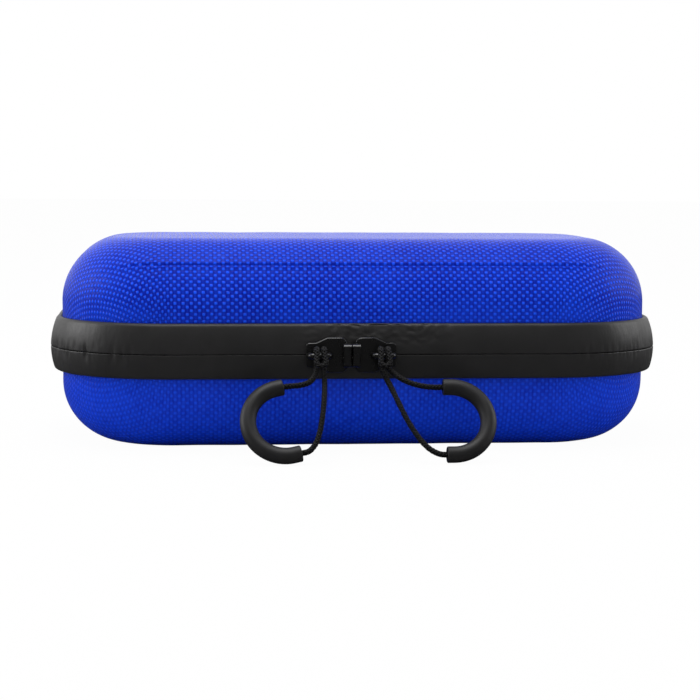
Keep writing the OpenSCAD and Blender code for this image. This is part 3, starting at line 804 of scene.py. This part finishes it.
def gather(bm):
    """Gathers the tape in short upright pleats at the slit round the corners, and parts it at the sliders."""
    for vert in bm.verts:
        _, away, reach = outward(vert.co.x, vert.co.y)
        h = vert.co.z - zip_h
        if reach > corner_r + 1 * MM:
            turning = max(0, min(abs(away.x), abs(away.y)) * 2 - 0.1) + 0.08
            row = Vector((vert.co.x, vert.co.y, vert.co.z * 0.1)) / pleat_gap
            pleat = min(0, noise.noise(row)) * math.exp(-(h / pleat_reach) ** 2)
            swell = noise.noise(Vector((vert.co.x, vert.co.y, vert.co.z * 0.5)) / swell_wave)
            vert.co += away * (2 * pleat_deep * min(turning, 1) * pleat + swell_deep * swell)
        if away.y < -0.99 and reach > corner_r + 2 * MM and h > crumple_from:
            near = max(0, 1 - (abs(vert.co.x - crumple_x) / crumple_half) ** 2)
            spot = Vector((vert.co.x, 0, vert.co.z * 1.3)) / crumple_wave
            fold = noise.turbulence_vector(spot, 2, False)[0] * 0.5
            crease_line = 1 - min(1, 4 * abs(noise.noise(spot + Vector((fold, 0, fold)))))
            rise = min(1, (h - crumple_from) / crumple_rise)
            vert.co -= away * crumple_deep * near * rise * crease_line
        if away.y < -0.99 and abs(h) < slit_reach:
            near = max(0, 1 - (abs(vert.co.x - slider_meet_x) / slit_open_half) ** 4)
            vert.co.z += math.copysign(slit_open * near * (1 - abs(h) / slit_reach), h)


band_material = coated_tape()
tape_outlines = {
    "upper": [(out, zip_h + h) for out, h in band_half(band_up)],
    "lower": [(out, zip_h - h) for out, h in band_half(band_down)],
}
for level, body in (("upper", "lid"), ("lower", "base")):
    bm = closed_band(tape_outlines[level], hinge_l / 2, round_moves(hinge_l, band_step, 96))
    gather(bm)
    bmesh.ops.recalc_face_normals(bm, faces=bm.faces)
    finish_piece(level + "_zip_band", bm, band_material, body, [level + "_zip_tape"])

# %% [markdown]
# Along the back the same coated cloth runs on without a zipper, and it is the hinge. It has to bend when the
# lid opens, so it is one piece that is attached to neither body, with enough rows to turn smoothly.

# %% Cloth hinge
hinge_outline = [(out, zip_h + h) for out, h in band_half(band_up)[6:]]
hinge_outline += [(out, zip_h - h) for out, h in reversed(band_half(band_down)[6:])]
bm = closed_band(hinge_outline, -hinge_l / 2, [((hinge_l, 0, 0), 0, 80)])
bmesh.ops.recalc_face_normals(bm, faces=bm.faces)
hinge_band = finish_piece("hinge_band", bm, band_material, None, ["hinge_strip"])
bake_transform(hinge_band)

# %% [markdown]
# A slider is a zinc casting with black enamel. Its exact solid is right, but every edge of a real casting is a
# little round, and that thin round is what catches the light. So a copy of the solid's mesh is merged, its
# flat faces are joined again, and its sharp edges are bevelled.

# %% Material: black enamel on cast zinc


def black_enamel():
    """Smooth baked enamel, nearly black, with a soft gloss and a little unevenness from the casting."""
    material, tree, shader, place = new_material("black_enamel")
    cast = add(tree, "TexNoise", {"Vector": place, "Scale": 500, "Detail": 2})
    rough = add(tree, "MapRange", {"Value": cast, "To Min": 0.22, "To Max": 0.36})
    bump = add(tree, "Bump", {"Height": cast, "Distance": 0.03 * MM, "Strength": 0.4})
    fill(tree, shader, {
        "Roughness": rough, "Normal": bump, "Base Color": srgb("#050506"), "Specular IOR Level": 0.8,
    })
    return material

# %% Sliders with rounded edges
enamel = black_enamel()
plate_face_y = -(corner_y + corner_r + 6.2 * MM)
eye_face_y = -(corner_y + corner_r + 10.4 * MM)
for side in ("left", "right"):
    bm = bmesh.new()
    bm.from_mesh(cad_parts[side + "_slider"].data)
    bmesh.ops.remove_doubles(bm, verts=bm.verts, dist=0.005 * MM)
    bmesh.ops.dissolve_limit(bm, angle_limit=math.radians(1), verts=bm.verts, edges=bm.edges)
    for face_y, width in ((plate_face_y, 0.5 * MM), (eye_face_y, 0.7 * MM)):
        rim = [e for e in bm.edges if e.is_convex and e.calc_face_angle(0) > math.radians(50)
               and all(abs(v.co.y - face_y) < 0.05 * MM for v in e.verts)]
        round_edges(bm, rim, width, 5)
        print(side, "slider has", len(rim), "rim edges at", round(face_y / MM, 1), "mm")
    sharp = [e for e in bm.edges if e.is_manifold and e.calc_face_angle() > math.radians(28)]
    round_edges(bm, sharp, 0.25 * MM, 3, clamp=True)
    slider = finish_piece(side + "_slider_body", bm, enamel, side + "_slider", [side + "_slider"])
    modifier(slider, "WEIGHTED_NORMAL", weight=50)

# %% [markdown]
# The finger grips are moulded in matt rubber over the cord's ends: a half circle with short straight ends,
# each with a hollow mouth that the cord goes into. A circle is spun for the bend, pushed straight at both
# ends, and inset there twice for the rounded rim and the mouth.

# %% Material: matt rubber


def matt_rubber():
    """Dark grey rubber with a fine eroded mould grain, so highlights are broad and soft."""
    material, tree, shader, place = new_material("matt_rubber")
    grain = add(tree, "TexNoise", {"Vector": place, "Scale": 2200, "Detail": 3})
    smear = add(tree, "TexNoise", {"Vector": place, "Scale": 160, "Detail": 2})
    tint = add(tree, "Mix", {"Factor": smear, "A": srgb("#121213"), "B": srgb("#1e1d1f")}, data_type="RGBA")
    rough = add(tree, "MapRange", {"Value": smear, "To Min": 0.45, "To Max": 0.6})
    bump = add(tree, "Bump", {"Height": grain, "Distance": 0.03 * MM, "Strength": 0.5})
    fill(tree, shader, {"Base Color": tint, "Roughness": rough, "Normal": bump, "Specular IOR Level": 0.45})
    return material

# %% Finger grips
grip_sides = 28
mouth_r = cord_d / 2 + 0.2 * MM
grip_round = 0.5 * MM
rubber = matt_rubber()
for side, pull in pulls.items():
    bm = bmesh.new()
    upright = Matrix.Translation((0, -grip_r, 0)) @ Matrix.Rotation(math.pi / 2, 4, "Y")
    bmesh.ops.create_circle(bm, segments=grip_sides, radius=grip_d / 2, cap_ends=False, matrix=upright)
    start = list(bm.edges)
    end = carry(bm, start, [((0, 0, 0), 180, 48)])
    for edges in (start, end):
        carry(bm, edges, [((-grip_end_l, 0, 0), 0, 4)])
    open_rims = [e for e in bm.edges if e.is_boundary]
    caps = bmesh.ops.holes_fill(bm, edges=open_rims, sides=0)["faces"]
    bmesh.ops.recalc_face_normals(bm, faces=bm.faces)
    rims = [e for cap in caps for e in cap.edges]
    round_edges(bm, rims, grip_round, 4)
    caps = [f for f in bm.faces if len(f.verts) == grip_sides]
    bmesh.ops.inset_individual(bm, faces=caps, thickness=grip_d / 2 - grip_round - mouth_r, depth=0)
    bmesh.ops.inset_individual(bm, faces=caps, thickness=0.02 * MM, depth=-socket_l)
    bm.transform(grip_matrix(pull))
    finish_piece(side + "_finger_grip", bm, rubber, side + "_pull", [side + "_pull_grip"])

# %% [markdown]
# Tape, thread and coil all follow the same way round the case, so one helper turns a length along that way
# into a place and an outward direction, and another does the reverse for the texture of ribbed tape.

# %% Helpers for lengths along the way round
quarter = math.pi / 2 * corner_r
stretches = [
    (corner_x, (0, corner_y), 0, False), (quarter, (corner_x, corner_y), 0, True),
    (2 * corner_y, (corner_x, corner_y), -90, False), (quarter, (corner_x, -corner_y), -90, True),
    (2 * corner_x, (corner_x, -corner_y), -180, False), (quarter, (-corner_x, -corner_y), -180, True),
    (2 * corner_y, (-corner_x, -corner_y), -270, False), (quarter, (-corner_x, corner_y), -270, True),
    (corner_x, (-corner_x, corner_y), -360, False),
]
way_length = sum(stretch[0] for stretch in stretches)


def place_at(length):
    """Point of the corner centres' line and the outward direction, at a length along the way round."""
    for stretch, (x, y), degrees, turning in stretches:
        if length <= stretch:
            break
        length -= stretch
    heading = math.radians(degrees)
    centre = Vector((x, y, 0))
    if turning:
        heading -= length / corner_r
    else:
        centre += length * Vector((math.cos(heading), math.sin(heading), 0))
    return centre, Vector((-math.sin(heading), math.cos(heading), 0))


def length_at(point):
    """Length along the way round at which a point lies."""
    centre, away, _ = outward(point.x, point.y)
    before = 0
    for stretch, (x, y), degrees, turning in stretches:
        heading = math.radians(degrees)
        ahead = Vector((math.cos(heading), math.sin(heading), 0))
        out = Vector((-ahead.y, ahead.x, 0))
        start = Vector((x, y, 0))
        if turning and (centre - start).length < 1e-6 and min(abs(away.x), abs(away.y)) > 1e-4:
            return before + corner_r * out.angle(away)
        along = (centre - start).dot(ahead)
        if not turning and away.dot(out) > 0.9999 and -1e-6 <= along <= stretch + 1e-6:
            return before + along
        before += stretch
    return before


def lay_tape(bm):
    """Texture coordinates of a tape that goes round the case: its length, and its height."""
    layer = bm.loops.layers.uv.new("UVMap")
    for face in bm.faces:
        middle = length_at(face.calc_center_median())
        for loop in face.loops:
            length = length_at(loop.vert.co)
            length += way_length * round((middle - length) / way_length)
            loop[layer].uv = (length, loop.vert.co.z + 0.7 * outward(*loop.vert.co.xy)[2])

# %% [markdown]
# The zipper's teeth are two coils of nylon monofilament, sewn under the tapes. They show in the slit's gap
# between the sliders, and all round when the lid is open. Each coil is a helix, squeezed flat, and the two are
# half a turn apart, so that the heads of one lie between the heads of the other.

# %% Material: nylon monofilament


def nylon_monofilament():
    """Drawn nylon, black and smooth, with a waxy soft gloss."""
    material, tree, shader, place = new_material("nylon_monofilament")
    drawn = add(tree, "TexNoise", {"Vector": place, "Scale": 900, "Detail": 2})
    rough = add(tree, "MapRange", {"Value": drawn, "To Min": 0.26, "To Max": 0.42})
    tint = add(tree, "Mix", {"Factor": drawn, "A": srgb("#0b0b0c"), "B": srgb("#1b1b1d")}, data_type="RGBA")
    fill(tree, shader, {"Base Color": tint, "Roughness": rough})
    return material

# %% Zipper coils
coil_pitch = 2.4 * MM
wire_r = 0.33 * MM
coil_t = 1.4 * MM
coil_head = 0.7 * MM
coil_root = 3.2 * MM
coil_spread = 1.9 * MM
points_per_turn = 10
coil_seat = tape_t + 0.05 * MM


def coil_path(side):
    """Centre line of one coil's wire. side is -1 below the zip line and 1 above it."""
    path = []
    run = way_length - hinge_l - coil_pitch
    turns = int(run / coil_pitch)
    for i in range(turns * points_per_turn):
        turn = i / points_per_turn + (0.5 if side > 0 else 0)
        centre, away = place_at(hinge_l / 2 + turn * coil_pitch)
        phase = 2 * math.pi * i / points_per_turn
        middle = (coil_head - coil_root) / 2
        swing = (coil_head + coil_root) / 2 - wire_r
        far = middle + swing * math.cos(phase)
        if away.y < -0.999:
            near = max(0, min(1, (13 * MM - abs(centre.x - slider_meet_x)) / (5 * MM)))
            far -= coil_spread * near * near * (3 - 2 * near)
        h = -side * far
        depth = coil_seat + coil_t / 2 + (coil_t / 2 - wire_r) * math.sin(phase)
        path.append(centre + away * band_x(h, depth) + Vector((0, 0, zip_h + h)))
    return path


monofilament = nylon_monofilament()
for level, side, body in (("lower", -1, "base"), ("upper", 1, "lid")):
    coil_mesh = tubes(level + "_coil", [coil_path(side)], wire_r, 2)
    finish_piece(level + "_nylon_coil", coil_mesh, monofilament, body, [level + "_zip_coil"])

# %% [markdown]
# Inside, a brushed knit is laminated to the foam. Its loops are too fine to see one by one, so it is a soft
# dark nap with faint columns. The foam itself only shows as the dark core of the wall.

# %% Materials: brushed knit and moulded foam


def brushed_knit():
    """Dark grey tricot with a raised nap: faint columns 1 mm apart, and a soft edge shine."""
    material, tree, shader, place = new_material("brushed_knit")
    nap = add(tree, "TexNoise", {"Vector": place, "Scale": 1500, "Detail": 3})
    columns = add(tree, "TexWave", {"Vector": place, "Scale": 160, "Distortion": 1.5,
                                    "Detail": 2, "Detail Scale": 3})
    patch = add(tree, "TexNoise", {"Vector": place, "Scale": 60, "Detail": 3})
    pile = add(tree, "Mix", {"Factor": 0.3, "A": nap, "B": columns}, data_type="FLOAT")
    tint = add(tree, "Mix", {"Factor": patch, "A": srgb("#1b1c20"), "B": srgb("#34363c")}, data_type="RGBA")
    bump = add(tree, "Bump", {"Height": pile, "Distance": 0.15 * MM, "Strength": 0.7})
    fill(tree, shader, {
        "Base Color": tint, "Normal": bump, "Roughness": 0.95, "Specular IOR Level": 0.1, "Sheen Weight": 0.3,
        "Sheen Roughness": 0.5,
    })
    return material


def moulded_foam():
    """Closed-cell EVA, dull black, with cells of about half a millimetre where it was cut."""
    material, tree, shader, place = new_material("moulded_foam")
    cells = add(tree, "TexVoronoi", {"Vector": place, "Scale": 2000})
    tint = add(tree, "Mix", {"Factor": cells, "A": srgb("#1c1c1e"), "B": srgb("#2e2e31")}, data_type="RGBA")
    bump = add(tree, "Bump", {"Height": cells, "Distance": 0.1 * MM, "Strength": 0.5})
    fill(tree, shader, {"Base Color": tint, "Normal": bump, "Roughness": 0.9})
    return material

# %% Linings, and the foam's finish
lining_face = skin_t + foam_t + 0.05 * MM
knit = brushed_knit()
foam = moulded_foam()
for part, body, edge_r, closed_z, side, depth in (
    ("base", "base", base_edge_r, 0, 1, base_rim), ("lid", "lid", lid_edge_r, case_h, -1, case_h - lid_rim),
):
    bm = pan(pan_outline(edge_r, lining_face, depth, 6, 24, 3), closed_z, side, 4 * MM, 20)
    uneven(bm, 0.08 * MM, 18 * MM)
    lining = finish_piece(part + "_knit_lining", bm, knit, body, [part + "_lining"])
    modifier(lining, "SOLIDIFY", thickness=lining_t - 0.1 * MM, offset=-1)
    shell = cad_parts[part + "_foam_shell"]
    shell.data.materials.clear()
    shell.data.materials.append(foam)

# %% [markdown]
# The shells' cut rims are bound with grosgrain, a narrow tape with ribs across it. It folds over the rim and is
# sewn down inside. The section is the folded tape with soft corners, and a row of stitches is real thread, as
# small low beads, because a row of bumps in a material would never catch the light in the same way.

# %% Material: ribbed tape


def ribbed_tape(name, rib_gap, dark, light):
    """Woven tape with ribs across it, matt, its colour painted lighter on each rib as highlight and darker
    between ribs as shade.
    """
    material, tree, shader, _ = new_material(name)
    axes = add(tree, "SeparateXYZ", {0: add(tree, "TexCoord", {}).outputs["UV"]})
    along = add(tree, "Math", {0: axes.outputs["X"], 1: math.pi / rib_gap}, operation="MULTIPLY")
    across = add(tree, "Math", {0: axes.outputs["Y"], 1: math.pi / rib_gap}, operation="MULTIPLY")
    ribs = [add(tree, "Math", {0: turn}, operation="SINE") for turn in (along, across)]
    round_ribs = [add(tree, "Math", {0: rib}, operation="ABSOLUTE") for rib in ribs]
    height = add(tree, "Mix", {"Factor": 0.25, "A": round_ribs[0], "B": round_ribs[1]}, data_type="FLOAT")
    # Painted highlight and shade: the colour is lighter on the ribs' crests and darker in the grooves between
    # them.
    tint = add(tree, "Mix", {"Factor": height, "A": srgb(dark), "B": srgb(light)}, data_type="RGBA")
    bump = add(tree, "Bump", {"Height": height, "Distance": 0.25 * MM, "Strength": 0.8})
    fill(tree, shader, {"Base Color": tint, "Normal": bump, "Roughness": 0.7, "Sheen Weight": 0.15})
    return material


def sewing_thread():
    """Twisted polyester thread, dark grey, with a slight silky shine."""
    material, tree, shader, place = new_material("sewing_thread")
    ply = add(tree, "TexNoise", {"Vector": place, "Scale": 3000})
    tint = add(tree, "Mix", {"Factor": ply, "A": srgb("#2e2f33"), "B": srgb("#4a4b50")}, data_type="RGBA")
    fill(tree, shader, {"Base Color": tint, "Roughness": 0.55, "Sheen Weight": 0.2})
    return material


thread = sewing_thread()
stitch_l = 2.6 * MM
stitch_gap = 3.4 * MM
thread_r = 0.28 * MM


def stitch(bm, place, along, up):
    """Adds one stitch: a low bead of thread that lies along a direction."""
    side = up.cross(along).normalized()
    turn = Matrix((along.normalized(), side, up.normalized())).transposed().to_4x4()
    scale = Matrix.Diagonal((stitch_l / 2, thread_r, thread_r, 1))
    bmesh.ops.create_uvsphere(bm, u_segments=6, v_segments=4, radius=1,
                              matrix=Matrix.Translation(place) @ turn @ scale)


def stitch_line(bm, start, end, up):
    """Adds a straight row of stitches between two points."""
    start, end, up = Vector(start), Vector(end), Vector(up)
    count = max(1, round((end - start).length / stitch_gap))
    for i in range(count):
        stitch(bm, start.lerp(end, (i + 0.5) / count), end - start, up)

# %% Bound rims
binding_leg = 6 * MM
binding_round = 0.3 * MM
grosgrain = ribbed_tape("grosgrain", 1.1 * MM, "#0e0e0f", "#232325")
for part, body, rim, side in (("base", "base", base_rim, 1), ("lid", "lid", lid_rim, -1)):
    r = binding_round
    inner, outer = bound_r + 0.02 * MM, corner_r - 0.05 * MM
    outline = [(outer, 0)] + arc_points(outer - r, binding_t - r, r, 0, 90, 3)
    outline += arc_points(inner + r, binding_t - r, r, 90, 180, 3)
    outline += arc_points(inner + r, r - binding_leg, r, 180, 270, 3)
    outline += [(inner + binding_t, -binding_leg), (inner + binding_t, 0)]
    bm = bmesh.new()
    edges = standing_section(bm, [(out, rim + side * h) for out, h in outline], 0, True)
    carry(bm, edges, round_moves(0, 4 * MM, 24))
    bmesh.ops.remove_doubles(bm, verts=bm.verts, dist=0.01 * MM)
    bmesh.ops.recalc_face_normals(bm, faces=bm.faces)
    lay_tape(bm)
    finish_piece(part + "_binding", bm, grosgrain, body, [part + "_rim_binding"])
    bm = bmesh.new()
    for i in range(int(way_length / stitch_gap)):
        centre, away = place_at((i + 0.5) * stitch_gap)
        spot = centre + away * bound_r + Vector((0, 0, rim - side * (binding_leg - 1.4 * MM)))
        stitch(bm, spot, away.cross(Vector((0, 0, 1))), -away)
    finish_piece(part + "_binding_stitches", bm, thread, body)

# %% [markdown]
# Inside the hinge band a strip of the lining's knit covers the gap between the shells. Between the two rims it
# folds out towards the band, where the hinge turns, so that it has the length to lie over the open hinge. Like
# the band, it is attached to neither body.

# %% Lining strip over the hinge
strip_t = 0.5 * MM
fold_out = 6.2 * MM
fold_half = 6.6 * MM
strip_low = base_rim - 4 * MM
strip_high = lid_rim + 1.4 * MM
fold_wave = 9 * MM
bm = bmesh.new()
strip_start = bm.verts.new((-hinge_l / 2, corner_y + bound_r - strip_t / 2 - 0.05 * MM, strip_low))
strip_other = bm.verts.new((hinge_l / 2, strip_start.co.y, strip_low))
strip_edge = bm.edges.new((strip_start, strip_other))
bmesh.ops.subdivide_edges(bm, edges=[strip_edge], cuts=29)
carry(bm, list(bm.edges), [((0, 0, strip_high - strip_low), 0, 24)])
for vert in bm.verts:
    from_middle = abs(vert.co.z - zip_h) / fold_half
    fold = (1 - from_middle ** 2) ** 1.5 if from_middle < 1 else 0
    vert.co.y += fold * fold_out * (1 + 0.06 * noise.noise(vert.co / fold_wave))
bmesh.ops.recalc_face_normals(bm, faces=bm.faces)
bmesh.ops.solidify(bm, geom=bm.faces[:], thickness=strip_t)
bmesh.ops.recalc_face_normals(bm, faces=bm.faces)
hinge_lining = finish_piece("hinge_lining", bm, knit, None, ["hinge_lining_strip"])
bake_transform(hinge_lining)

# %% [markdown]
# Two straps hold the stethoscope down. Each has a half with hooks and a half with loops, sewn high up the
# base's walls and lapped in the middle. A strap is webbing, so it is drawn as one line seen from the side,
# pushed out to its width, and given its thickness by a modifier, with a small bevel for the woven edge.

# %% Straps
strap_w = 25 * MM
strap_t = 1.2 * MM
strap_x = 48 * MM
strap_lap = 26 * MM
strap_ramp = 3 * MM
strap_rise = 40
floor_z = wall_t
turn_y, turn_z = corner_y + corner_r - base_edge_r, base_edge_r
turn_r = base_edge_r - wall_t - strap_t / 2
webbing = ribbed_tape("strap_webbing", 1.25 * MM, "#0c0c0d", "#26262a")
low_z, high_z = floor_z + strap_t / 2, floor_z + 1.5 * strap_t
half_lap = strap_lap / 2
strap_lines = {
    "hook": arc_points(-turn_y, turn_z, turn_r, 270 - strap_rise, 270, 8)
    + [(-turn_y + (half_lap + turn_y) * i / 12, low_z) for i in range(1, 13)],
    "loop": arc_points(turn_y, turn_z, turn_r, 270 + strap_rise, 270, 8)
    + [(turn_y + (half_lap + strap_ramp - turn_y) * i / 4, low_z) for i in range(1, 5)]
    + [(half_lap + 0.15 * MM, high_z)] + [(half_lap - strap_lap * i / 8, high_z) for i in range(1, 9)],
}
for side, middle_x in (("left", -strap_x), ("right", strap_x)):
    for half, line in strap_lines.items():
        bm = bmesh.new()
        verts = [bm.verts.new((middle_x - strap_w / 2 + 0.3 * MM, y, z)) for y, z in line]
        edges = [bm.edges.new(pair) for pair in zip(verts, verts[1:])]
        lengths = path_lengths([v.co for v in verts])
        known = {(round(v.co.y, 6), round(v.co.z, 6)): length for v, length in zip(verts, lengths)}
        carry(bm, edges, [((strap_w - 0.6 * MM, 0, 0), 0, 10)])
        lay_texture(bm, lambda co: (known[round(co.y, 6), round(co.z, 6)], co.x))
        bmesh.ops.recalc_face_normals(bm, faces=bm.faces)
        name = side + "_strap_" + half
        strap = finish_piece(name + "_webbing", bm, webbing, "base", [name + "_half"])
        modifier(strap, "SOLIDIFY", thickness=strap_t - 0.1 * MM, offset=0)
        modifier(strap, "BEVEL", width=0.3 * MM, segments=2, limit_method="ANGLE")

# %% Box stitches on the straps
box_w = 17 * MM
box_l = 15 * MM
strap_top = floor_z + strap_t - 0.05 * MM
bm = bmesh.new()
for middle_x in (-strap_x, strap_x):
    for y in (-turn_y + 1.5 * MM, turn_y - 1.5 * MM):
        inward = -math.copysign(1, y)
        corners = [(middle_x + sx * box_w / 2, y + inward * sy * box_l, strap_top)
                   for sx, sy in ((-1, 0), (1, 0), (1, 1), (-1, 1))]
        for i, j in ((0, 1), (1, 2), (2, 3), (3, 0), (0, 2), (1, 3)):
            stitch_line(bm, corners[i], corners[j], (0, 0, 1))
finish_piece("strap_box_stitches", bm, thread, "base")

# %% [markdown]
# The lid's pocket is a knitted net, sewn to the bound rim on three sides, with an elastic hem along its open
# front edge. The net is a grid turned by 45 degrees, cut to the pocket's outline and made a wire frame, with
# holes about 1.5 mm wide, as such nets have.

# %% Material: knitted net yarn


def net_yarn():
    """Black polyester monofil net, with a slight gloss on its rounded bars."""
    material, tree, shader, place = new_material("net_yarn")
    knots = add(tree, "TexNoise", {"Vector": place, "Scale": 1200, "Detail": 2})
    tint = add(tree, "Mix", {"Factor": knots, "A": srgb("#101012"), "B": srgb("#2b2c30")}, data_type="RGBA")
    bump = add(tree, "Bump", {"Height": knots, "Distance": 0.08 * MM, "Strength": 0.6})
    fill(tree, shader, {"Base Color": tint, "Normal": bump, "Roughness": 0.5})
    return material

# %% Net of the lid's pocket
net_low, net_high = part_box("lid_mesh_pocket")
net_mid = (net_low[2] + net_high[2]) / 2
net_front = net_low[1]
net_border = 5 * MM
net_cell = 2.3 * MM
net_bar = 0.8 * MM
yarn = net_yarn()
bm = bmesh.new()
cells = round(300 * MM / net_cell)
bmesh.ops.create_grid(bm, x_segments=cells, y_segments=cells, size=cells * net_cell / 2,
                      matrix=Matrix.Translation((0, 0, net_mid)) @ Matrix.Rotation(math.pi / 4, 4, "Z"))
inner_r = bound_r - net_border + net_cell / 2
outside = [v for v in bm.verts if outward(v.co.x, v.co.y)[2] > inner_r or v.co.y < net_front - net_cell / 2]
bmesh.ops.delete(bm, geom=outside, context="VERTS")
loose = [v for v in bm.verts if not v.link_faces]
bmesh.ops.delete(bm, geom=loose, context="VERTS")
bmesh.ops.wireframe(bm, faces=bm.faces, thickness=net_bar, offset=0, use_replace=True, use_boundary=True,
                    use_even_offset=True)
net = finish_piece("pocket_net", bm, yarn, "lid", ["lid_mesh_pocket"])

# %% Border tape of the net
bm = bmesh.new()
border_half = net_border / 2
border_t = (net_high[2] - net_low[2]) / 2 - 0.05 * MM
outline = []
for x, y, start in ((1, 1, 0), (-1, 1, 90), (-1, -1, 180), (1, -1, 270)):
    outline += arc_points(bound_r - border_half + x * (border_half - 0.35 * MM),
                          net_mid + y * (border_t - 0.2 * MM), 0.2 * MM, start, start + 90, 2)
reach = bound_r - border_half
edges = standing_section(bm, outline, 0, True)
moves = [((corner_x, 0, 0), 0, 12), ((corner_x, corner_y, 0), -90, 24), ((0, -2 * corner_y, 0), 0, 6)]
stop_angle = math.degrees(math.asin((-net_front - corner_y) / reach))
moves += [((corner_x, -corner_y, 0), -stop_angle, 12)]
carry(bm, edges, moves)
bmesh.ops.mirror(bm, geom=bm.verts[:] + bm.edges[:] + bm.faces[:], axis="X", merge_dist=0.02 * MM)
bmesh.ops.remove_doubles(bm, verts=bm.verts, dist=0.01 * MM)
bmesh.ops.holes_fill(bm, edges=[e for e in bm.edges if e.is_boundary], sides=0)
bmesh.ops.recalc_face_normals(bm, faces=bm.faces)
lay_tape(bm)
net_border_tape = finish_piece("pocket_border_tape", bm, grosgrain, "lid")

# %% Elastic hem of the pocket
hem_low, hem_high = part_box("mesh_pocket_elastic_hem")
hem_y, hem_z = (hem_low[1] + hem_high[1]) / 2, (hem_low[2] + hem_high[2]) / 2
hem_w, hem_h = hem_high[1] - hem_low[1], hem_high[2] - hem_low[2]
elastic = ribbed_tape("covered_elastic", 0.9 * MM, "#0d0d0e", "#2a2a2d")
bm = bmesh.new()
gathers = 64
rows = 6
hem_sides = 16
hem_squareness = 0.6
hem_inset = 0.15 * MM
verts = []
for k in range(hem_sides):
    a = 2 * math.pi * k / hem_sides
    wide = math.copysign(abs(math.cos(a)) ** hem_squareness, math.cos(a)) * (hem_w / 2 - hem_inset)
    high = math.copysign(abs(math.sin(a)) ** hem_squareness, math.sin(a)) * (hem_h / 2 - hem_inset)
    verts.append(bm.verts.new((-1, hem_y + wide, hem_z + high)))
edges = [bm.edges.new((verts[k], verts[(k + 1) % hem_sides])) for k in range(hem_sides)]
carry(bm, edges, [((2, 0, 0), 0, gathers * rows)])
bmesh.ops.holes_fill(bm, edges=[e for e in bm.edges if e.is_boundary], sides=0)
for vert in bm.verts:
    y, z = vert.co.y - hem_y, vert.co.z - hem_z
    pucker = 0.86 + 0.14 * math.cos(math.pi * gathers * vert.co.x) * (1 - 0.5 * abs(z) / hem_h)
    vert.co.y, vert.co.z = hem_y + y * (0.94 + 0.06 * pucker), hem_z + z * pucker
    deep = -(vert.co.y + corner_y)
    vert.co.x *= corner_x + math.sqrt(bound_r ** 2 - deep ** 2) - 0.3 * MM
lay_texture(bm, lambda co: co.xy)
bmesh.ops.recalc_face_normals(bm, faces=bm.faces)
hem = finish_piece("pocket_elastic_hem", bm, elastic, "lid", ["mesh_pocket_elastic_hem"])
